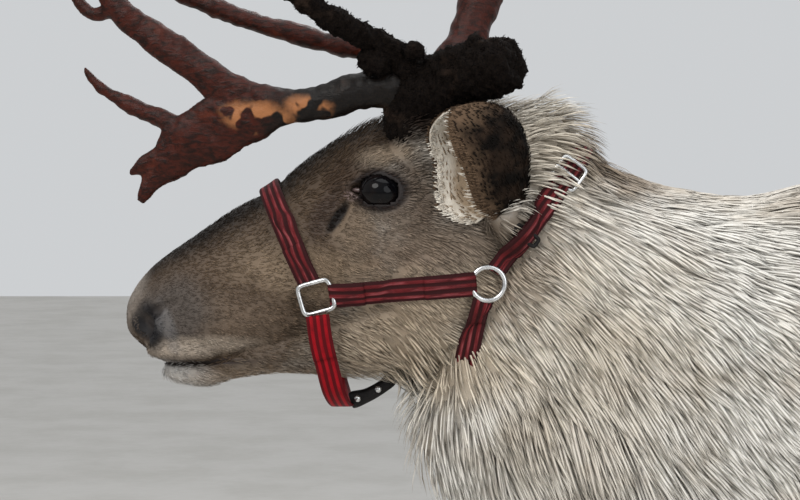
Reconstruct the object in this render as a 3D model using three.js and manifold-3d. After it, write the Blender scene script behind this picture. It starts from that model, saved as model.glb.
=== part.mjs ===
// A life-size reindeer bull in winter coat, standing with its head held level and wearing a halter.
// Millimetres. X runs from the nose to the tail, Y towards the animal's right side, Z up.
// The left antler's main beam is broken off short. The right one is whole.
import * as THREE from "three";
import { ParametricGeometry } from "three/addons/geometries/ParametricGeometry.js";
import { mergeVertices } from "three/addons/utils/BufferGeometryUtils.js";
import Module from "manifold-3d";

const wasm = await Module();
wasm.setup();

// Driving dimensions
const GAP = 0.3; // clearance between nodes that touch
const NOSE_X = -745; // foremost point of the muzzle
const MOUTH_Z = 927; // height of the line between the lips
const EYE = new THREE.Vector3(-510, -62, 1083); // centre of the left eyeball
const EYE_RADIUS = 17;
const EYE_AIM = new THREE.Vector3(-0.22, -0.97, 0.08).normalize();
const EAR_ROOT = new THREE.Vector3(-399, -80, 1067); // where the left ear meets the skull
const EAR_UP = new THREE.Vector3(-0.44, -0.38, 0.81).normalize(); // from its root to its tip
const EAR_LENGTH = 110;
const EAR_WALL = 3.5;
const PEDICLE = new THREE.Vector3(-474, -46, 1150); // where the left antler meets the skull
const PEDICLE_UP = new THREE.Vector3(0.1, -0.3, 0.95).normalize();
const NAPE = new THREE.Vector3(-300, 0, 1119); // on the plane between the head and the neck
const HEAD_CUT = new THREE.Vector3(189, 0, -115).normalize();
const WITHERS = new THREE.Vector3(-120, 0, 1090); // on the plane between the neck and the trunk
const NECK_CUT = new THREE.Vector3(490, 0, -80).normalize();
const ELBOW_Z = 574; // the forelegs part from the trunk here
const STIFLE_Z = 632; // the hind legs part from the trunk here
const CARPUS_Z = 372;
const HOCK_Z = 448;
const CORONET_Z = 52; // top of the hooves
const STRAP_WIDTH = 20;
const STRAP_THICK = 3;
const TANGENT_STEP = 0.05; // share of a limb's length over which its direction is taken

const COLOURS = {
  face: { color: 0x7d6a58, roughness: 0.95 },
  coat: { color: 0xcfc6b8, roughness: 0.95 },
  leg: { color: 0x8c7d6c, roughness: 0.95 },
  ear: { color: 0x4a3d32, roughness: 0.95 },
  eye: { color: 0x0d0b0c, roughness: 0.08 },
  hoof: { color: 0x2a2522, roughness: 0.55 },
  bone: { color: 0x6b3a26, roughness: 0.5 },
  velvet: { color: 0x2a211b, roughness: 1.0 },
  webbing: { color: 0x7c1f2a, roughness: 0.8 },
  webbing_red: { color: 0xb01226, roughness: 0.8 },
  steel: { color: 0xb9bcc0, roughness: 0.3, metalness: 1.0 },
  leather: { color: 0x15100e, roughness: 0.5 },
};

const reindeer = new THREE.Group();
const animal = new THREE.Group(); // moved at the end, so that the box's centre stands over the origin
reindeer.add(animal);
const V = (x, y, z) => new THREE.Vector3(x, y, z);
const mirrored = (v) => V(v.x, -v.y, v.z);
const SIDES = [
  { name: "left", sign: -1 },
  { name: "right", sign: 1 },
];

// Solids and geometry

// One closed solid from a geometry whose edges meet once its vertices are merged.
function solid(geometry) {
  const bare = geometry.clone();
  bare.deleteAttribute("normal");
  bare.deleteAttribute("uv");
  const merged = mergeVertices(bare, 1e-3);
  const corners = merged.index.array;
  const kept = [];
  for (let i = 0; i < corners.length; i += 3) {
    const [a, b, c] = corners.slice(i, i + 3);
    if (a !== b && b !== c && c !== a) kept.push(a, b, c);
  }
  const build = (order) =>
    new wasm.Manifold(
      new wasm.Mesh({
        numProp: 3,
        vertProperties: merged.attributes.position.array,
        triVerts: new Uint32Array(order),
      }),
    );
  const made = build(kept);
  return made.volume() > 0 ? made : build(kept.reverse());
}

// The largest closed body of a solid, without loose scraps.
function largest(shape) {
  const bodies = shape.decompose();
  return bodies.reduce((a, b) => (b.volume() > a.volume() ? b : a));
}

function geometryOf(shape) {
  const { numProp, vertProperties, triVerts } = shape.getMesh();
  const count = vertProperties.length / numProp;
  const position = new Float32Array(count * 3);
  for (let i = 0; i < count; i += 1) {
    position.set(vertProperties.subarray(i * numProp, i * numProp + 3), i * 3);
  }
  const geometry = new THREE.BufferGeometry();
  geometry.setAttribute("position", new THREE.BufferAttribute(position, 3));
  geometry.setIndex(new THREE.BufferAttribute(new Uint32Array(triVerts), 1));
  geometry.computeVertexNormals();
  return geometry;
}

function addNode(name, shape, finish) {
  const material = new THREE.MeshStandardMaterial(COLOURS[finish]);
  const mesh = new THREE.Mesh(geometryOf(largest(shape)), material);
  mesh.name = name;
  animal.add(mesh);
  return mesh;
}

const union = (...shapes) => shapes.reduce((a, b) => a.add(b));

// The mirror image of a solid on the other side of the animal.
function mirror(shape) {
  const geometry = geometryOf(shape);
  const position = geometry.getAttribute("position");
  for (let i = 0; i < position.count; i += 1) position.setY(i, -position.getY(i));
  return solid(geometry);
}
const onSide = (shape, sign) => (sign < 0 ? shape : mirror(shape));

function ellipsoid(centre, radii, across = 12, tilt = [0, 0, 0]) {
  const ball = new THREE.SphereGeometry(1, across, Math.round(across * 0.6));
  ball.scale(...radii);
  ball.rotateX(tilt[0]).rotateY(tilt[1]).rotateZ(tilt[2]);
  ball.translate(centre.x, centre.y, centre.z);
  return solid(ball);
}

// Everything on the side of a plane that its normal points to.
function halfSpace(point, normal, offset = 0) {
  const size = 4000;
  const box = new THREE.BoxGeometry(size, size, size);
  box.translate(0, 0, size / 2);
  box.applyQuaternion(new THREE.Quaternion().setFromUnitVectors(V(0, 0, 1), normal));
  const at = point.clone().addScaledVector(normal, offset);
  box.translate(at.x, at.y, at.z);
  return solid(box);
}

// A smooth curve through (xs, ys).
function cubic(xs, ys) {
  const last = xs.length - 1;
  const slope = xs.map((_, i) => {
    const a = Math.max(0, i - 1);
    const b = Math.min(last, i + 1);
    return (ys[b] - ys[a]) / (xs[b] - xs[a]);
  });
  return (x) => {
    let i = 0;
    while (i < last - 1 && x > xs[i + 1]) i += 1;
    const h = xs[i + 1] - xs[i];
    const t = (x - xs[i]) / h;
    const t2 = t * t;
    const t3 = t2 * t;
    return (
      (2 * t3 - 3 * t2 + 1) * ys[i] +
      (t3 - 2 * t2 + t) * h * slope[i] +
      (3 * t2 - 2 * t3) * ys[i + 1] +
      (t3 - t2) * h * slope[i + 1]
    );
  };
}

// A closed form through a list of stations. section(fields, angle, fieldsNear) gives a point of the
// outline there, and fieldsNear(step) the fields a little further along.
function loft(stations, section, rings, segments) {
  const keys = Object.keys(stations[0]);
  const along = [0];
  for (let i = 1; i < stations.length; i += 1) {
    const steps = keys.map((k) => stations[i][k] - stations[i - 1][k]);
    along.push(along[i - 1] + Math.hypot(...steps));
  }
  const total = along[along.length - 1];
  const curves = keys.map((k) => cubic(along, stations.map((s) => s[k])));
  const fieldsAt = (v) => {
    const d = total * Math.min(1, Math.max(0, v));
    return Object.fromEntries(keys.map((k, i) => [k, curves[i](d)]));
  };
  const surface = (u, v, target) => {
    const near = (step) => fieldsAt(v + step);
    target.copy(section(fieldsAt(v), 2 * Math.PI * (u % 1), near));
  };
  return solid(new ParametricGeometry(surface, segments, rings));
}

// An upright outline across the body: half wide at height wide, squarer where n is over 2.
function bodySection({ x, top, bottom, wide, half, nTop, nBottom }, angle) {
  const c = Math.cos(angle);
  const s = Math.sin(angle);
  const power = 2 / (s > 0 ? nTop : nBottom);
  const y = Math.max(0, half) * Math.sign(c) * Math.abs(c) ** power;
  const reach = s > 0 ? top - wide : bottom - wide;
  return V(x, y, wide + reach * Math.abs(s) ** power);
}
const body = (x, top, bottom, half, wide = (top + bottom) / 2, nTop = 2, nBottom = 2) => ({
  x,
  top,
  bottom,
  half,
  wide,
  nTop,
  nBottom,
});

// The same stations with the surface moved outwards.
const grown = (stations, grow) =>
  stations.map((s, i) =>
    s.half === 0
      ? { ...s, x: s.x + (i === 0 ? -grow : grow) }
      : { ...s, top: s.top + grow, bottom: s.bottom - grow, half: s.half + grow },
  );

// A level outline across a leg.
function legSection({ z, x, y, front, back, side }, angle) {
  const c = Math.cos(angle);
  return V(x + Math.max(0, c < 0 ? front : back) * c, y + Math.max(0, side) * Math.sin(angle), z);
}
const leg = (z, x, front, back, side, y = 0) => ({ z, x, y, front, back, side });

// A tapered limb, such as an antler's beam: each step is [x, y, z, half width, half thickness],
// its width turned square to the direction thin.
function limb(steps, { sides = 8, rings = 2 * steps.length, thin = V(0, 1, 0), grow = 0 } = {}) {
  const stations = steps.map(([x, y, z, w, t]) => ({ x, y, z, w: w + grow, t: t + grow }));
  const [first, last] = [stations[0], stations[stations.length - 1]];
  stations.unshift({ ...first, w: 0, t: 0 });
  stations.push({ ...last, w: 0, t: 0 });
  const section = ({ x, y, z, w, t }, angle, near) => {
    const [ahead, behind] = [near(TANGENT_STEP), near(-TANGENT_STEP)];
    const tangent = V(ahead.x - behind.x, ahead.y - behind.y, ahead.z - behind.z);
    const wideways = tangent.clone().cross(thin).normalize();
    const thinways = wideways.clone().cross(tangent).normalize();
    return V(x, y, z)
      .addScaledVector(wideways, Math.max(0, w) * Math.cos(angle))
      .addScaledVector(thinways, Math.max(0, t) * Math.sin(angle));
  };
  return loft(stations, section, rings, sides);
}

// Head and neck

const head = (u, ...rest) => body(NOSE_X + u, ...rest);

// The skull, from the muzzle to behind the ears. head(u, top, bottom, half, wide, nTop, nBottom).
const SKULL = [
  head(0, 966, 966, 0, 966),
  head(4, 984, 950, 24, 966),
  head(15, 1003, 938, 37, 966),
  head(32, 1020, 928, 45, 966, 2.2, 2.4),
  head(62, 1041, 926, 50, 970, 2.1, 2.6),
  head(100, 1067, 927, 52, 978, 2, 2.5),
  head(135, 1086, 930, 54, 990, 2, 2.3),
  head(170, 1114, 935, 61, 1010, 2, 2.2),
  head(205, 1136, 940, 69, 1035, 2.1, 2.1),
  head(245, 1150, 945, 74, 1050, 2.3, 2),
  head(295, 1156, 950, 75, 1055, 2.3, 2),
  head(345, 1158, 960, 74, 1060, 2.2, 2),
  head(400, 1150, 970, 70, 1060),
  head(430, 1060, 1060, 0, 1060),
];
// The lower jaw, from the chin to the angle behind the cheek.
const JAW = [
  head(33, 916, 916, 0, 916),
  head(38, 925, 909, 19, 917),
  head(50, 931, 904, 29, 917, 2, 2.2),
  head(76, 936, 901, 33, 918, 2, 2.2),
  head(102, 945, 908, 35, 925),
  head(140, 960, 913, 40, 935),
  head(185, 980, 912, 48, 945),
  head(235, 1000, 912, 56, 955),
  head(285, 1010, 920, 60, 965),
  head(330, 1000, 950, 50, 975),
  head(345, 975, 975, 0, 975),
];
// The neck with its coat, from the throat to the shoulders. body(x, top, bottom, half, wide).
const NECK = [
  body(-480, 872, 872, 0, 872),
  body(-472, 905, 838, 26, 872),
  body(-452, 1000, 812, 50, 905),
  body(-415, 1120, 795, 70, 960),
  body(-375, 1166, 780, 84, 990),
  body(-345, 1158, 770, 90, 990),
  body(-300, 1112, 755, 102, 960),
  body(-250, 1092, 735, 116, 925),
  body(-188, 1082, 700, 136, 890),
  body(-124, 1090, 665, 160, 870),
  body(-60, 1100, 650, 175, 860),
  body(20, 860, 860, 0, 860),
];

// The forms of the left side of the head, to be joined to it.
function headDetails(grow) {
  const lump = (at, radii, across, tilt) =>
    ellipsoid(at, radii.map((r) => r + grow), across, tilt);
  const brow = lump(V(-506, -50, 1106), [34, 24, 15], 8, [0.5, -0.15, 0]);
  const cheek = lump(V(-452, -40, 1010), [76, 36, 58], 10);
  const crest = lump(V(-560, -42, 1040), [48, 15, 14], 8, [0, 0.35, 0]);
  const wing = lump(V(-712, -38, 962), [8, 8, 21], 8, [0, 0.45, 0]);
  const lip = lump(V(-690, -28, 937), [34, 20, 10], 8);
  return union(brow, cheek, crest, wing, lip);
}

// The head and neck in one form, its surface moved outwards by grow.
function headAndNeck(grow = 0) {
  const skull = loft(grown(SKULL, grow), bodySection, 26, 20);
  const jaw = loft(grown(JAW, grow), bodySection, 14, 12);
  const neck = loft(grown(NECK, grow), bodySection, 14, 18);
  const left = headDetails(grow);
  return union(skull, jaw, neck, left, mirror(left));
}

// The raised rim of skin round an eye, aimed the way the eye looks.
function lidRim() {
  const rim = new THREE.TorusGeometry(1, 0.25, 5, 16);
  rim.scale(20, 16, 17);
  rim.rotateZ(-0.12);
  rim.applyQuaternion(new THREE.Quaternion().setFromUnitVectors(V(0, 0, 1), EYE_AIM));
  const at = EYE.clone().addScaledVector(EYE_AIM, 9);
  rim.translate(at.x, at.y, at.z);
  return solid(rim);
}

function nostril() {
  const opening = ellipsoid(V(-724, -38, 961), [9, 12, 15], 9, [0, 0.35, 0]);
  const rear = ellipsoid(V(-707, -48, 980), [11, 7, 5], 7, [0, 0.5, 0]);
  return union(opening, rear);
}

// The groove between the lips, round the front of the muzzle from corner to corner.
function mouthLine() {
  const half = [
    [NOSE_X + 108, -34, MOUTH_Z + 10, 8, 1.4],
    [NOSE_X + 94, -31, MOUTH_Z + 3, 9, 1.6],
    [NOSE_X + 74, -29, MOUTH_Z, 10, 1.6],
    [NOSE_X + 52, -25, MOUTH_Z, 10, 1.6],
    [NOSE_X + 40, -14, MOUTH_Z, 10, 1.6],
  ];
  const other = half.map(([x, y, ...rest]) => [x, -y, ...rest]).reverse();
  const front = [NOSE_X + 36, 0, MOUTH_Z, 10, 1.6];
  return limb([...half, front, ...other], { sides: 4, rings: 22, thin: V(0, 0, 1) });
}

// The stubs of the left side that the antler and the ear stand on, each with a flat top.
function seats(grow = 0) {
  const pedicle = limb(
    [
      [PEDICLE.x + 4, PEDICLE.y + 8, PEDICLE.z - 45, 32, 30],
      [PEDICLE.x, PEDICLE.y, PEDICLE.z + 20, 26, 26],
    ],
    { sides: 10, rings: 4, thin: V(1, 0, 0), grow },
  );
  const inner = EAR_ROOT.clone().addScaledVector(EAR_UP, -30);
  const outer = EAR_ROOT.clone().addScaledVector(EAR_UP, 16);
  const stub = limb(
    [
      [inner.x, inner.y + 12, inner.z, 18, 16],
      [outer.x, outer.y, outer.z, 20, 17],
    ],
    { sides: 10, rings: 4, thin: V(1, 0, 0), grow },
  );
  const seat = pedicle.subtract(halfSpace(PEDICLE, PEDICLE_UP));
  return union(seat, stub.subtract(halfSpace(EAR_ROOT, EAR_UP)));
}

function carveHead(flesh) {
  const left = union(lidRim(), seats());
  const pocket = ellipsoid(EYE, [1, 1, 1].map(() => EYE_RADIUS + GAP), 12);
  const hollows = union(pocket, nostril());
  return flesh
    .add(left)
    .add(mirror(left))
    .subtract(hollows)
    .subtract(mirror(hollows))
    .subtract(mouthLine());
}

const HEAD_CLEARANCE = headAndNeck(2 * GAP); // what stands on the head stays out of this

// Ears

// The outline of the ear's cup: its share of the full width from root to tip.
const earWidth = cubic([0, 0.12, 0.4, 0.7, 0.86, 0.95, 1], [0.42, 0.62, 0.95, 1, 0.78, 0.42, 0.03]);
const EAR_TURN = 2.03; // half of the angle that the cup's wall turns through

// A point of the cup's wall, at a share h of its length, turned from the back of the ear.
function earWall(h, turn, inset) {
  const across = EAR_UP.clone().cross(V(-0.9, -0.25, -0.35)).normalize();
  const mouth = across.clone().cross(EAR_UP).normalize();
  const deep = Math.max(0.4, 48 * earWidth(h) - inset);
  const wide = Math.max(0.4, 22 * earWidth(h) - inset);
  return EAR_ROOT.clone()
    .addScaledVector(EAR_UP, EAR_LENGTH * h)
    .addScaledVector(mouth, -deep * Math.cos(turn) + 8 * h * h)
    .addScaledVector(across, wide * Math.sin(turn));
}

function ear() {
  const surface = (u, v, target) => {
    const lap = u % 1;
    const outer = lap < 0.5;
    const turn = EAR_TURN * (outer ? 4 * lap - 1 : 3 - 4 * lap);
    target.copy(earWall(v, turn, outer ? 0 : EAR_WALL));
  };
  const [slices, stacks] = [14, 7];
  const cup = closeEnds(new ParametricGeometry(surface, slices, stacks), slices, stacks);
  const at = (d) => EAR_ROOT.clone().addScaledVector(EAR_UP, d).toArray();
  const plug = limb([[...at(-12), 19, 16], [...at(14), 17, 13]], { sides: 10, rings: 4, thin: V(1, 0, 0) });
  return union(cup, plug)
    .subtract(halfSpace(EAR_ROOT, EAR_UP.clone().negate(), -GAP))
    .subtract(HEAD_CLEARANCE);
}

// Closes the two ends of a tube whose section is a thin curved strip, strip by strip.
function closeEnds(tube, slices, stacks) {
  const index = [...tube.index.array];
  const row = slices + 1;
  const closeRow = (start, flip) => {
    for (let i = 0; i < slices / 2; i += 1) {
      const outer = [start + i, start + i + 1];
      const inner = [start + ((slices - i) % slices), start + slices - i - 1];
      const quad = [outer[0], outer[1], inner[1], inner[0]];
      if (flip) quad.reverse();
      index.push(quad[0], quad[1], quad[2], quad[0], quad[2], quad[3]);
    }
  };
  closeRow(0, true);
  closeRow(stacks * row, false);
  tube.setIndex(index);
  return solid(tube);
}

// Locks of long hair

// A seeded random number between 0 and 1.
function randomFrom(seed) {
  let state = seed;
  return () => {
    state = (state * 1664525 + 1013904223) % 4294967296;
    return state / 4294967296;
  };
}

// A flat, tapered lock: from root along way, turning to wards fall by its tip, lying on out.
function lock(root, way, fall, out, length, width) {
  const steps = [0, 0.3, 0.65, 1];
  const share = [0.75, 1, 0.78, 0];
  const points = [];
  let at = root.clone();
  steps.forEach((t, k) => {
    const heading = way.clone().lerp(fall, t).normalize();
    if (k > 0) at = at.clone().addScaledVector(heading, length * (t - steps[k - 1]));
    const across = heading.clone().cross(out).normalize();
    const up = across.clone().cross(heading).normalize();
    const w = (width / 2) * share[k];
    const thick = width * 0.28 * share[k];
    if (k === steps.length - 1) points.push(at);
    else {
      points.push(at.clone().addScaledVector(across, w), at.clone().addScaledVector(up, thick));
      points.push(at.clone().addScaledVector(across, -w), at.clone().addScaledVector(up, -thick));
    }
  });
  const index = [0, 1, 2, 0, 2, 3];
  for (let k = 0; k < 2; k += 1) {
    for (let i = 0; i < 4; i += 1) {
      const [a, b] = [4 * k + i, 4 * k + ((i + 1) % 4)];
      index.push(a, a + 4, b, b, a + 4, b + 4);
    }
  }
  for (let i = 0; i < 4; i += 1) index.push(8 + i, 12, 8 + ((i + 1) % 4));
  const geometry = new THREE.BufferGeometry().setFromPoints(points);
  geometry.setIndex(index);
  return solid(geometry);
}

// Where a ray from inside a solid leaves it, and the way out there.
function surfaceFinder(shape) {
  const mesh = new THREE.Mesh(geometryOf(shape), new THREE.MeshBasicMaterial({ side: THREE.DoubleSide }));
  const ray = new THREE.Raycaster();
  return (from, way) => {
    ray.set(from, way);
    const hit = ray.intersectObject(mesh)[0];
    return { point: hit.point, out: hit.face.normal.clone() };
  };
}

const MANE_ROWS = 7;
const MANE_ROW_STEP = 42;
const MANE_SPREAD = [0, 24, 48, 72, 98]; // degrees round from the underside
const MANE_LENGTH = 185;
const MANE_WIDTH = 46;
const ROOT_DEPTH = 16; // how deep a lock's root lies

// The hanging locks of the throat and the neck's sides.
function maneLocks(core) {
  const leave = surfaceFinder(core);
  const random = randomFrom(11);
  const locks = [];
  const place = (x, degrees, size) => {
    const angle = THREE.MathUtils.degToRad(degrees);
    const from = V(x, 0, 930);
    const { point, out } = leave(from, V(0, Math.sin(angle), -Math.cos(angle)).normalize());
    if (point.clone().sub(NAPE).dot(HEAD_CUT) < ROOT_DEPTH) return;
    const lean = THREE.MathUtils.clamp((x + 440) / 200, 0.05, 0.6);
    const fall = V(lean + 0.1 * (random() - 0.5), 0.1 * Math.sign(out.y) * random(), -1).normalize();
    const way = fall.clone().addScaledVector(out, -fall.dot(out) + 0.35).normalize();
    const root = point.addScaledVector(out, -ROOT_DEPTH).addScaledVector(way, -10);
    locks.push(lock(root, way, fall, out, size * (0.85 + 0.3 * random()), MANE_WIDTH));
  };
  for (let row = 0; row < MANE_ROWS; row += 1) {
    const x = -436 + MANE_ROW_STEP * row;
    for (const spread of MANE_SPREAD) {
      const degrees = spread + (row % 2) * 12;
      const size = MANE_LENGTH * (1 - 0.3 * (degrees / 110));
      for (const side of degrees === 0 ? [1] : [-1, 1]) place(x + 8 * random(), side * degrees, size);
    }
  }
  return locks;
}

// Trunk

const TORSO = [
  body(-235, 850, 850, 0, 850),
  body(-225, 960, 740, 70, 850),
  body(-180, 1040, 660, 125, 850),
  body(-100, 1088, 612, 165, 850),
  body(0, 1112, 588, 188, 850),
  body(150, 1098, 576, 208, 820),
  body(320, 1088, 562, 220),
  body(480, 1086, 585, 216),
  body(620, 1092, 640, 202, 860),
  body(740, 1072, 690, 184, 880),
  body(830, 1025, 740, 145),
  body(880, 960, 800, 85),
  body(896, 880, 880, 0, 880),
];
const FORELEG = [
  leg(760, 20, 60, 60, 30, 118),
  leg(740, 20, 75, 75, 50, 118),
  leg(640, 30, 68, 78, 52, 118),
  leg(560, 25, 52, 58, 44, 112),
  leg(470, 15, 40, 44, 36, 105),
  leg(390, 8, 33, 33, 33, 101),
  leg(355, 6, 33, 31, 34, 100),
  leg(320, 6, 27, 27, 27, 100),
  leg(240, 6, 22, 24, 22, 100),
  leg(170, 8, 22, 25, 23, 100),
  leg(130, 8, 25, 31, 27, 100),
  leg(95, 0, 24, 26, 25, 100),
  leg(50, -14, 27, 26, 30, 100),
  leg(30, -18, 20, 20, 22, 100),
];
const HINDLEG = [
  leg(820, 730, 110, 110, 50, 112),
  leg(790, 730, 130, 130, 68, 115),
  leg(700, 735, 120, 120, 75, 120),
  leg(620, 755, 95, 95, 62, 118),
  leg(540, 800, 62, 62, 46, 112),
  leg(480, 835, 42, 48, 36, 108),
  leg(440, 848, 36, 46, 34, 106),
  leg(400, 848, 32, 38, 30, 105),
  leg(350, 846, 26, 28, 25, 104),
  leg(250, 842, 24, 25, 23, 104),
  leg(170, 838, 24, 26, 24, 104),
  leg(130, 834, 26, 33, 28, 104),
  leg(95, 824, 25, 27, 26, 104),
  leg(50, 808, 28, 27, 31, 104),
  leg(30, 804, 21, 20, 22, 104),
];
// Half of a cloven hoof and its mate, from under the floor to inside the foot.
const HOOF = [
  leg(-12, -6, 60, 42, 52),
  leg(0, -5, 56, 40, 50),
  leg(20, -3, 48, 38, 46),
  leg(40, 0, 38, 35, 40),
  leg(56, 3, 30, 31, 34),
  leg(70, 4, 20, 22, 22),
];
const HOOF_CLEFT = 5;

// Stations of a leg moved to one side, and forwards or back.
const placed = (stations, sign, shift) =>
  stations.map((s) => ({ ...s, x: s.x + shift, y: s.y * sign }));

// A closed loft of level outlines, rounded off at both ends.
function legLoft(stations, rings, sides) {
  const close = (s) => ({ ...s, front: 0, back: 0, side: 0 });
  const ends = [close(stations[0]), close(stations[stations.length - 1])];
  return loft([ends[0], ...stations, ends[1]], legSection, rings, sides);
}

const LEGS = SIDES.flatMap(({ name, sign }) => [
  { name: `${name}_foreleg`, stations: placed(FORELEG, sign, sign * 22), root: ELBOW_Z, bend: CARPUS_Z },
  { name: `${name}_hindleg`, stations: placed(HINDLEG, sign, -sign * 30), root: STIFLE_Z, bend: HOCK_Z },
]);
const wholeLeg = (limbOf) => legLoft(limbOf.stations, 22, 9);
const below = (z) => halfSpace(V(0, 0, z), V(0, 0, -1));
const above = (z) => halfSpace(V(0, 0, z), V(0, 0, 1));

function addLeg(limbOf) {
  const { name, stations, root, bend } = limbOf;
  const whole = wholeLeg(limbOf);
  addNode(`${name}_upper`, whole.subtract(above(root - GAP)).subtract(below(bend)), "leg");
  const foot = stations[stations.length - 2];
  const claw = (side) => ellipsoid(V(foot.x + 34, foot.y + side * 15, CORONET_Z + 26), [13, 10, 20], 8, [0, -0.5, 0]);
  const shank = whole.subtract(above(bend - GAP)).subtract(below(CORONET_Z));
  addNode(`${name}_lower`, union(shank, claw(-1), claw(1)), "leg");
  const hoof = legLoft(HOOF.map((s) => ({ ...s, x: s.x + foot.x, y: foot.y })), 12, 16);
  const onFloor = hoof.subtract(below(0)).subtract(above(CORONET_Z - GAP));
  for (const { name: toe, sign } of [
    { name: "outer", sign: Math.sign(foot.y) },
    { name: "inner", sign: -Math.sign(foot.y) },
  ]) {
    const cleft = V(0, foot.y + (sign * HOOF_CLEFT) / 2, 0);
    addNode(`${name}_${toe}_hoof`, onFloor.subtract(halfSpace(cleft, V(0, -sign, 0))), "hoof");
  }
}

const TAIL = [
  [846, 0, 1004, 34, 26],
  [880, 0, 1000, 36, 24],
  [908, 0, 965, 34, 20],
  [918, 0, 925, 24, 15],
];
const RUMP = V(868, 0, 1004); // where the tail leaves the rump
const RUMP_OUT = V(0.86, 0, 0.5).normalize();

function tail() {
  const core = limb(TAIL, { sides: 10, rings: 10, thin: V(1, 0, 0.4) });
  const random = randomFrom(5);
  const locks = [];
  for (let i = 0; i < 10; i += 1) {
    const y = -24 + 12 * (i % 5);
    const root = V(900 - (i > 4 ? 10 : 0), y, i > 4 ? 968 : 940);
    const fall = V(0.05, y * 0.004, -1).normalize();
    locks.push(lock(root, V(0.5, y * 0.008, -1).normalize(), fall, V(1, 0, 0.2), 72 + 24 * random(), 24));
  }
  return union(core, ...locks).subtract(halfSpace(RUMP, RUMP_OUT.clone().negate(), -GAP));
}

// The flesh in one form, parted by planes

function addBody() {
  const shoulder = ellipsoid(V(10, -125, 800), [130, 75, 220], 12);
  const haunch = ellipsoid(V(738, -112, 830), [158, 84, 210], 12);
  const legTops = union(...LEGS.map((l) => wholeLeg(l).subtract(below(l.root))));
  const left = union(shoulder.subtract(below(ELBOW_Z)), haunch.subtract(below(STIFLE_Z)));
  const trunk = union(loft(TORSO, bodySection, 20, 22), left, mirror(left), legTops);
  const front = carveHead(headAndNeck());
  const headNode = front.subtract(halfSpace(NAPE, HEAD_CUT));
  const neckCore = front.subtract(halfSpace(NAPE, HEAD_CUT.clone().negate()));
  const maned = union(neckCore, ...maneLocks(front));
  const behind = trunk.add(neckCore).subtract(halfSpace(WITHERS, NECK_CUT.clone().negate(), -GAP));
  addNode("head", headNode, "face");
  const neck = maned.subtract(halfSpace(WITHERS, NECK_CUT));
  addNode("neck", neck.subtract(halfSpace(NAPE, HEAD_CUT.clone().negate(), -GAP)), "coat");
  addNode("torso", behind.subtract(halfSpace(RUMP, RUMP_OUT)), "coat");
  addNode("tail", tail(), "coat");
}

// Antlers. A limb is a list of [x, y, z, half width, half thickness].

const LEFT_BASE = [
  [PEDICLE.x, PEDICLE.y + 6, PEDICLE.z - 20, 27, 27],
  [-474, -48, 1158, 30, 29],
  [-450, -62, 1180, 28, 27],
  [-420, -78, 1190, 26, 25],
  [-392, -92, 1197, 22, 22],
];
const LEFT_KNOBS = [
  [V(-514, -66, 1200), 15],
  [V(-479, -76, 1208), 9],
  [V(-443, -82, 1203), 13],
  [V(-428, -80, 1214), 8],
];
const LEFT_BROW = [
  [
    [-482, -50, 1172, 18, 16],
    [-512, -50, 1176, 18, 14],
    [-555, -48, 1164, 16, 12],
    [-591, -44, 1159, 17, 11],
    [-627, -38, 1153, 26, 9],
    [-659, -32, 1138, 29, 8],
    [-690, -28, 1121, 25, 8],
    [-714, -24, 1096, 13, 6],
    [-728, -22, 1072, 3, 3],
  ],
  [
    [-680, -29, 1128, 14, 7],
    [-716, -25, 1112, 9, 5],
    [-738, -22, 1097, 3, 3],
  ],
  [
    [-655, -32, 1146, 12, 7],
    [-685, -28, 1142, 9, 6],
    [-722, -22, 1153, 8, 6],
    [-750, -18, 1166, 7, 5],
    [-768, -15, 1178, 5, 4],
    [-780, -13, 1194, 2, 2],
  ],
  [
    [-612, -40, 1155, 17, 8],
    [-636, -37, 1167, 17, 8],
    [-662, -32, 1183, 16, 8],
    [-694, -26, 1207, 15, 8],
    [-722, -21, 1226, 14, 8],
    [-745, -17, 1245, 12, 7],
    [-763, -14, 1268, 9, 6],
    [-777, -12, 1300, 3, 3],
  ],
  [
    [-748, -16, 1248, 6, 5],
    [-772, -10, 1243, 6, 5],
    [-786, -6, 1257, 5, 4],
    [-791, -4, 1272, 2, 2],
  ],
];
const LEFT_BEZ = [
  [
    [-478, -56, 1186, 14, 13],
    [-494, -60, 1204, 13, 12],
    [-514, -68, 1217, 12, 11],
    [-541, -78, 1230, 11, 11],
    [-567, -90, 1245, 11, 10],
    [-593, -100, 1264, 11, 10],
    [-619, -112, 1289, 10, 9],
    [-634, -120, 1318, 9, 8],
    [-640, -126, 1352, 6, 5],
    [-638, -128, 1372, 2, 2],
  ],
  [
    [-606, -106, 1276, 9, 8],
    [-640, -102, 1280, 7, 6],
    [-668, -98, 1296, 2, 2],
  ],
];
const RIGHT_BEAM = [
  [
    [PEDICLE.x, -PEDICLE.y - 6, PEDICLE.z - 20, 27, 27],
    [-472, 50, 1162, 28, 27],
    [-448, 66, 1190, 24, 23],
    [-430, 80, 1214, 20, 20],
    [-423, 88, 1241, 19, 17],
    [-414, 98, 1268, 22, 15],
    [-404, 110, 1300, 20, 15],
    [-392, 124, 1335, 17, 15],
    [-380, 140, 1368, 16, 15],
  ],
];
const RIGHT_BROW = [
  [
    [-466, 48, 1192, 12, 12],
    [-494, 42, 1207, 11, 11],
    [-539, 40, 1214, 10, 10],
    [-586, 38, 1225, 10, 9],
    [-623, 36, 1235, 9, 9],
    [-660, 35, 1249, 9, 8],
    [-688, 34, 1261, 9, 8],
    [-716, 33, 1276, 8, 7],
    [-744, 32, 1297, 7, 6],
    [-768, 31, 1323, 2, 2],
  ],
  [
    [-716, 33, 1276, 6, 6],
    [-726, 26, 1300, 6, 5],
    [-730, 18, 1330, 2, 2],
  ],
];
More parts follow.
